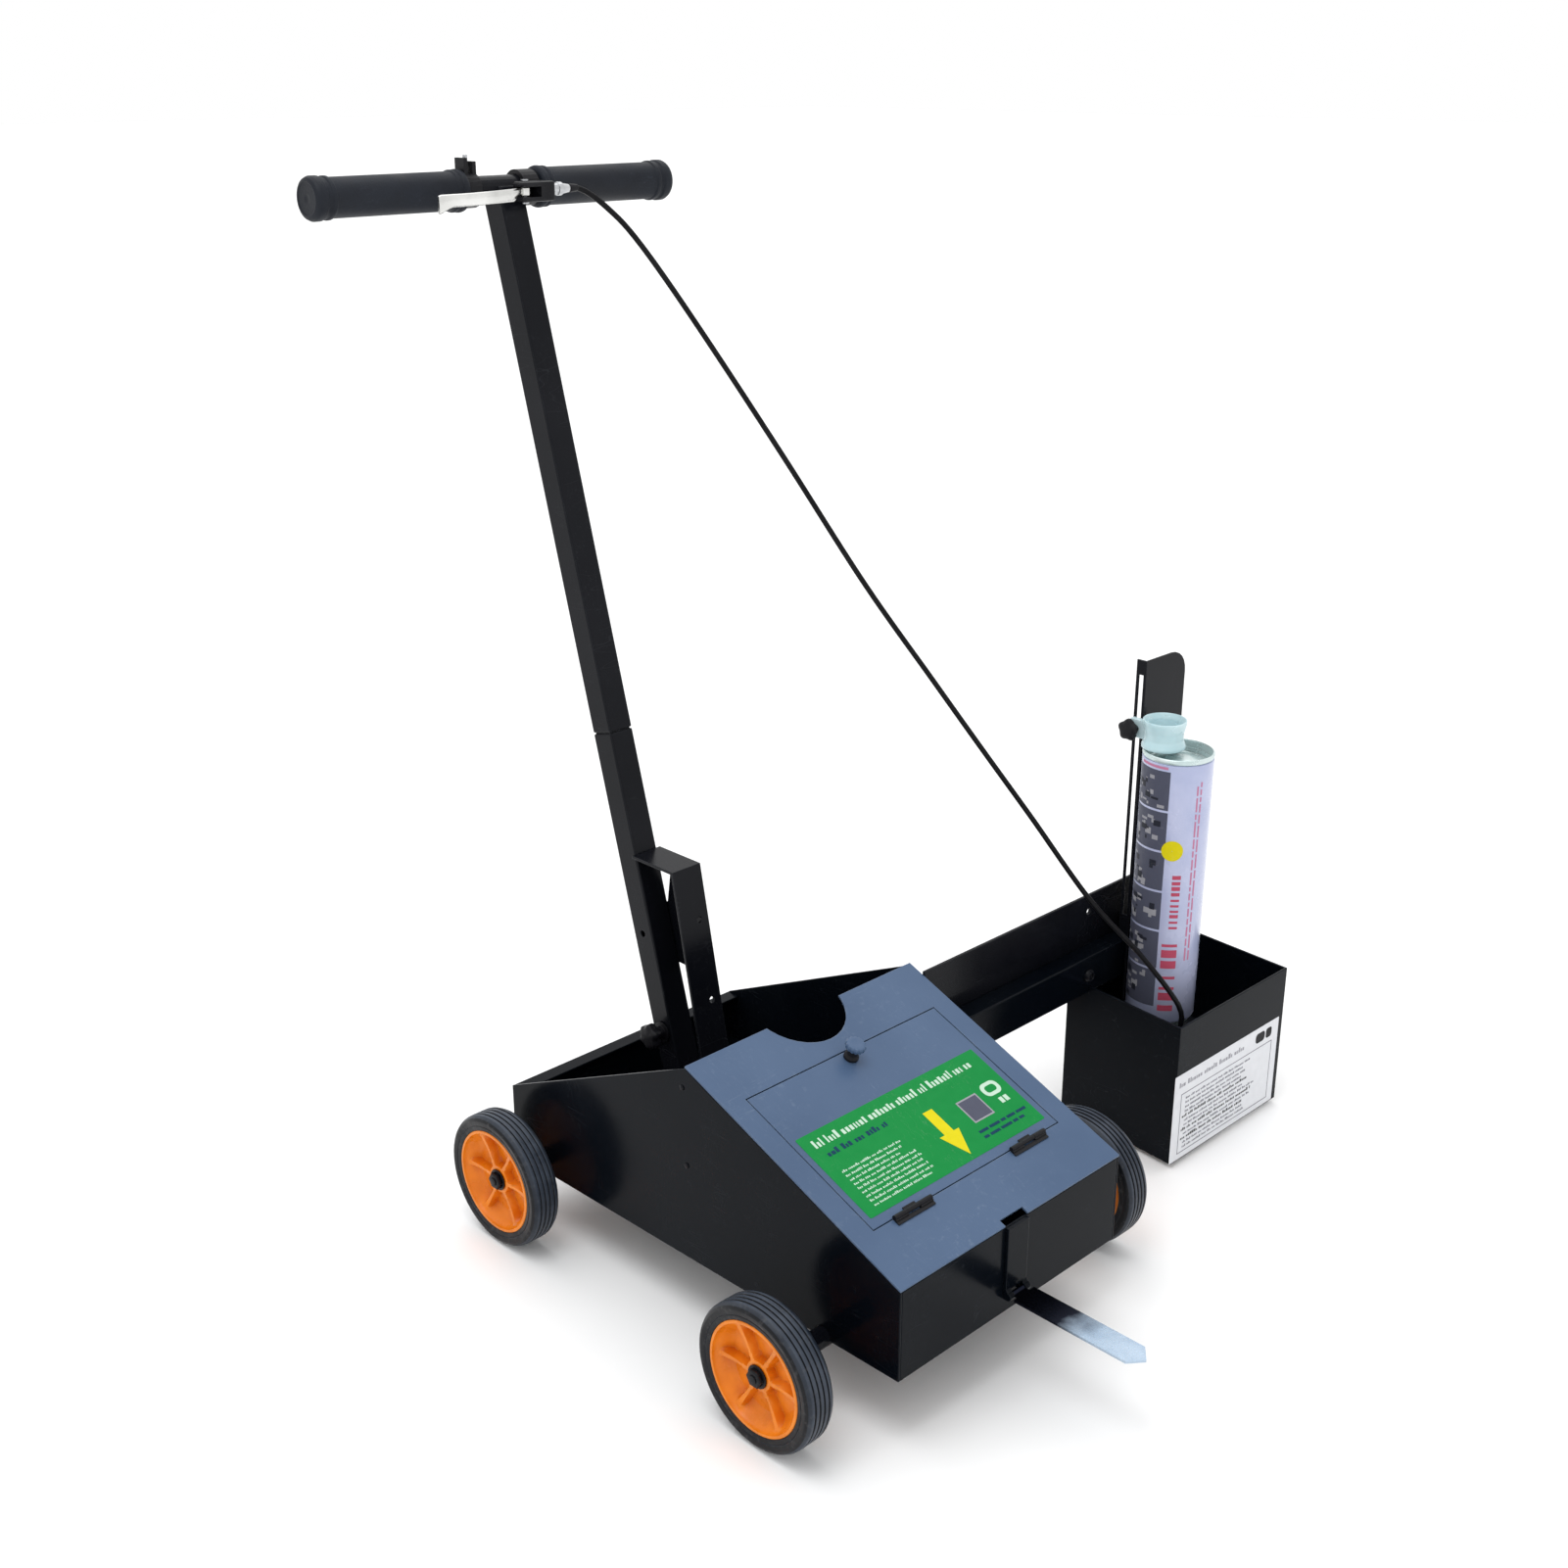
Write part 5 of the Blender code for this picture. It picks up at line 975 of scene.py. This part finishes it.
def make_cable():
    adjuster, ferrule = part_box("cable_adjuster"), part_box("cable_ferrule")
    start = Vector((adjuster[1].x + CABLE_GAP, middle("cable_adjuster").y, middle("cable_adjuster").z))
    end = Vector((middle("cable_ferrule").x, middle("cable_ferrule").y, ferrule[1].z + 0.0003 + CABLE_GAP))
    step = end - start
    way = [start + Vector(a * b for a, b in zip(step, shares)) for shares in CABLE_SHARES]
    way = [start, start + X * 0.008, *way, end + Vector((-0.0026, 0.0038, 0.036)),
           end + Vector((-0.0006, 0.0009, 0.012)), end]
    points, length = smooth_route(way, CABLE_DIAMETER * 1.2)
    curve = bpy.data.curves.new("sheathed_cable", "CURVE")
    curve.dimensions = "3D"
    curve.bevel_depth = CABLE_DIAMETER / 2
    curve.bevel_resolution = 5
    curve.use_fill_caps = True
    spline = curve.splines.new("POLY")
    spline.points.add(len(points) - 1)
    for knot, point in zip(spline.points, points):
        knot.co = (*point, 1)
    spline.use_smooth = True
    curve.materials.append(LOOKS["cable_black"])
    cable = bpy.data.objects.new("sheathed_cable", curve)
    bpy.context.scene.collection.objects.link(cable)
    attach(cable, "chassis")
    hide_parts("brake_cable")
    print("cable length", round(length, 3))
    sleeve = [(0.0026, 0.0), (0.0034, 0.0), (0.0036, 0.0010), (0.0034, 0.0050), (0.0030, 0.0085),
              (0.0026, 0.0090)]
    lathe("cable_boot", sleeve, frame_at(start, X, Z), "black_plastic", "chassis", (), 36, True)


# ---------------------------------------------------------------- smaller pieces
def dress_nodes():
    """Every piece of the model takes the finish of its own slot, with a few told apart."""
    special = {"pointer": "pointer_steel"}
    for name in ("side_panel_right", "side_panel_left", "front_panel", "rear_panel", "floor_plate",
                 "arm_tube", "pointer_strap", "spray_guard", "can_shelf"):
        special[name] = "panel_black"
    for part in frame["record"]["subparts"]:
        node = frame["nodes"][part["node"]]
        look = LOOKS[special.get(part["node"], part["material_slot"])]
        for slot in node.material_slots:
            slot.material = look


def make_latch():
    pivot, normal = joint_place("latch_turn")
    place = frame_at(pivot, normal, X)
    stem = softened([(0.0031, -0.0031), (0.0031, 0.0003), (0.0066, 0.0003), (0.0066, 0.0026), (0.0048, 0.0046),
                     (0.0040, 0.0088), (0.0046, 0.0104), (0.0020, 0.0104)], 0.0006, 3)
    lathe("latch_stem", stem, place, "black_plastic", "latch", ["latch_knob"], 48)

    def fluted(radius, angle):
        return radius * (1 + 0.045 * math.cos(14 * angle)) if radius > 0.0070 else radius

    head = softened([(0.0022, 0.0106), (0.0060, 0.0108), (0.0084, 0.0122), (0.0087, 0.0150), (0.0078, 0.0168),
                     (0.0050, 0.0172), (0.0015, 0.0168)], 0.0006, 3)
    lathe("latch_head", head, place, "lid_grey", "latch", (), 84, wobble=fluted)
    shape = bmesh.new()
    outline = round_patch(-0.0058, -0.0058, 0.0168, 0.0058, 0.0026)
    rings = []
    for height, inset in ((-0.0047, 0.03), (-0.0045, 0.0), (-0.0029, 0.0), (-0.0027, 0.03)):
        rings.append([place @ Vector((a * (1 - inset), b * (1 - inset), height)) for a, b in outline])
    add_rings(shape, rings)
    finish_piece("latch_cam", shape, "steel", "latch")


def make_knobs():
    stud, _ = joint_place("holder_knob_turn")
    place = frame_at(stud, -X, Z)
    make_knob("holder_knob", place,
              [(0.0024, -0.0085), (0.0024, 0.0066), (0.0046, 0.0068), (0.0046, 0.0100)],
              [(0.0030, 0.0102), (0.0088, 0.0110), (0.0100, 0.0135), (0.0098, 0.0165), (0.0070, 0.0182),
               (0.0020, 0.0186)], "black_plastic", "holder_knob", ["clamp_knob"])
    inner = middle("foot_bolt")
    inner.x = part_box("foot_bolt")[1].x - 0.006
    place = frame_at(inner, -X, Z)
    make_knob("foot_knob", place,
              [(0.0040, -0.0055), (0.0040, 0.0002), (0.0090, 0.0002), (0.0094, 0.0016), (0.0060, 0.0020),
               (0.0060, 0.0090)],
              [(0.0030, 0.0092), (0.0104, 0.0100), (0.0114, 0.0120), (0.0114, 0.0165), (0.0090, 0.0190),
               (0.0020, 0.0195)], "black_plastic", "chassis", ["foot_bolt"], 6)


def make_side_rivets():
    """Two small dark rivets on the right side panel."""
    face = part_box("side_panel_right")[0].x
    front = middle("front_panel").y
    places = (("side_rivet_upper", 0.236, 0.214), ("side_rivet_lower", 0.232, 0.144))
    for name, back, z in places:
        place = frame_at((face, front + back, z), -X, Z)
        dome = [(0.0006, 0.0001), (0.0026, 0.0001), (0.0024, 0.0008), (0.0014, 0.0013), (0.0003, 0.0014)]
        dome = softened(dome, 0.0003, 2)
        lathe(name, dome, place, "gloss_black", "chassis", (), 28)


def make_well():
    """The can well with a rolled rim."""
    low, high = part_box("can_well")
    r = (high.x - low.x) / 2
    place = Matrix.Translation((middle("can_well").x, middle("can_well").y, 0))
    profile = softened([
        (r - 0.0014, low.z), (r - 0.0002, low.z), (r - 0.0002, high.z - 0.0060),
        (r + 0.0014, high.z - 0.0044), (r + 0.0014, high.z - 0.0012), (r, high.z),
        (r - 0.0016, high.z - 0.0012), (r - 0.0014, high.z - 0.0060),
    ], 0.0006, 2)
    lathe("well_tube", profile, place, "gloss_black", "chassis", ["can_well"], 96, True)


def main():
    make_camera()
    make_cable()
    make_floor()
    make_light()
    dress_nodes()
    for corner, side in (("front_right", -1), ("front_left", 1), ("rear_right", -1), ("rear_left", 1)):
        make_wheel(corner, side)
    make_grip("right", -1)
    make_grip("left", 1)
    make_lever()
    make_knobs()
    make_latch()
    hex_bolt("arm_hex_front", "arm_bolt_front", X)
    hex_bolt("arm_hex_rear", "arm_bolt_rear", X)
    hex_bolt("column_hex", "column_bolt", X)
    round_bolt("post_socket_bolt", "post_bolt", -Y)
    round_bolt("guard_socket_bolt", "guard_bolt", -Y)
    centre, radius = make_can()
    print_can(centre, radius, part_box("spray_can")[1].z)
    make_pad()
    make_well()
    make_door_label()
    make_guard_label()
    make_side_rivets()


main()
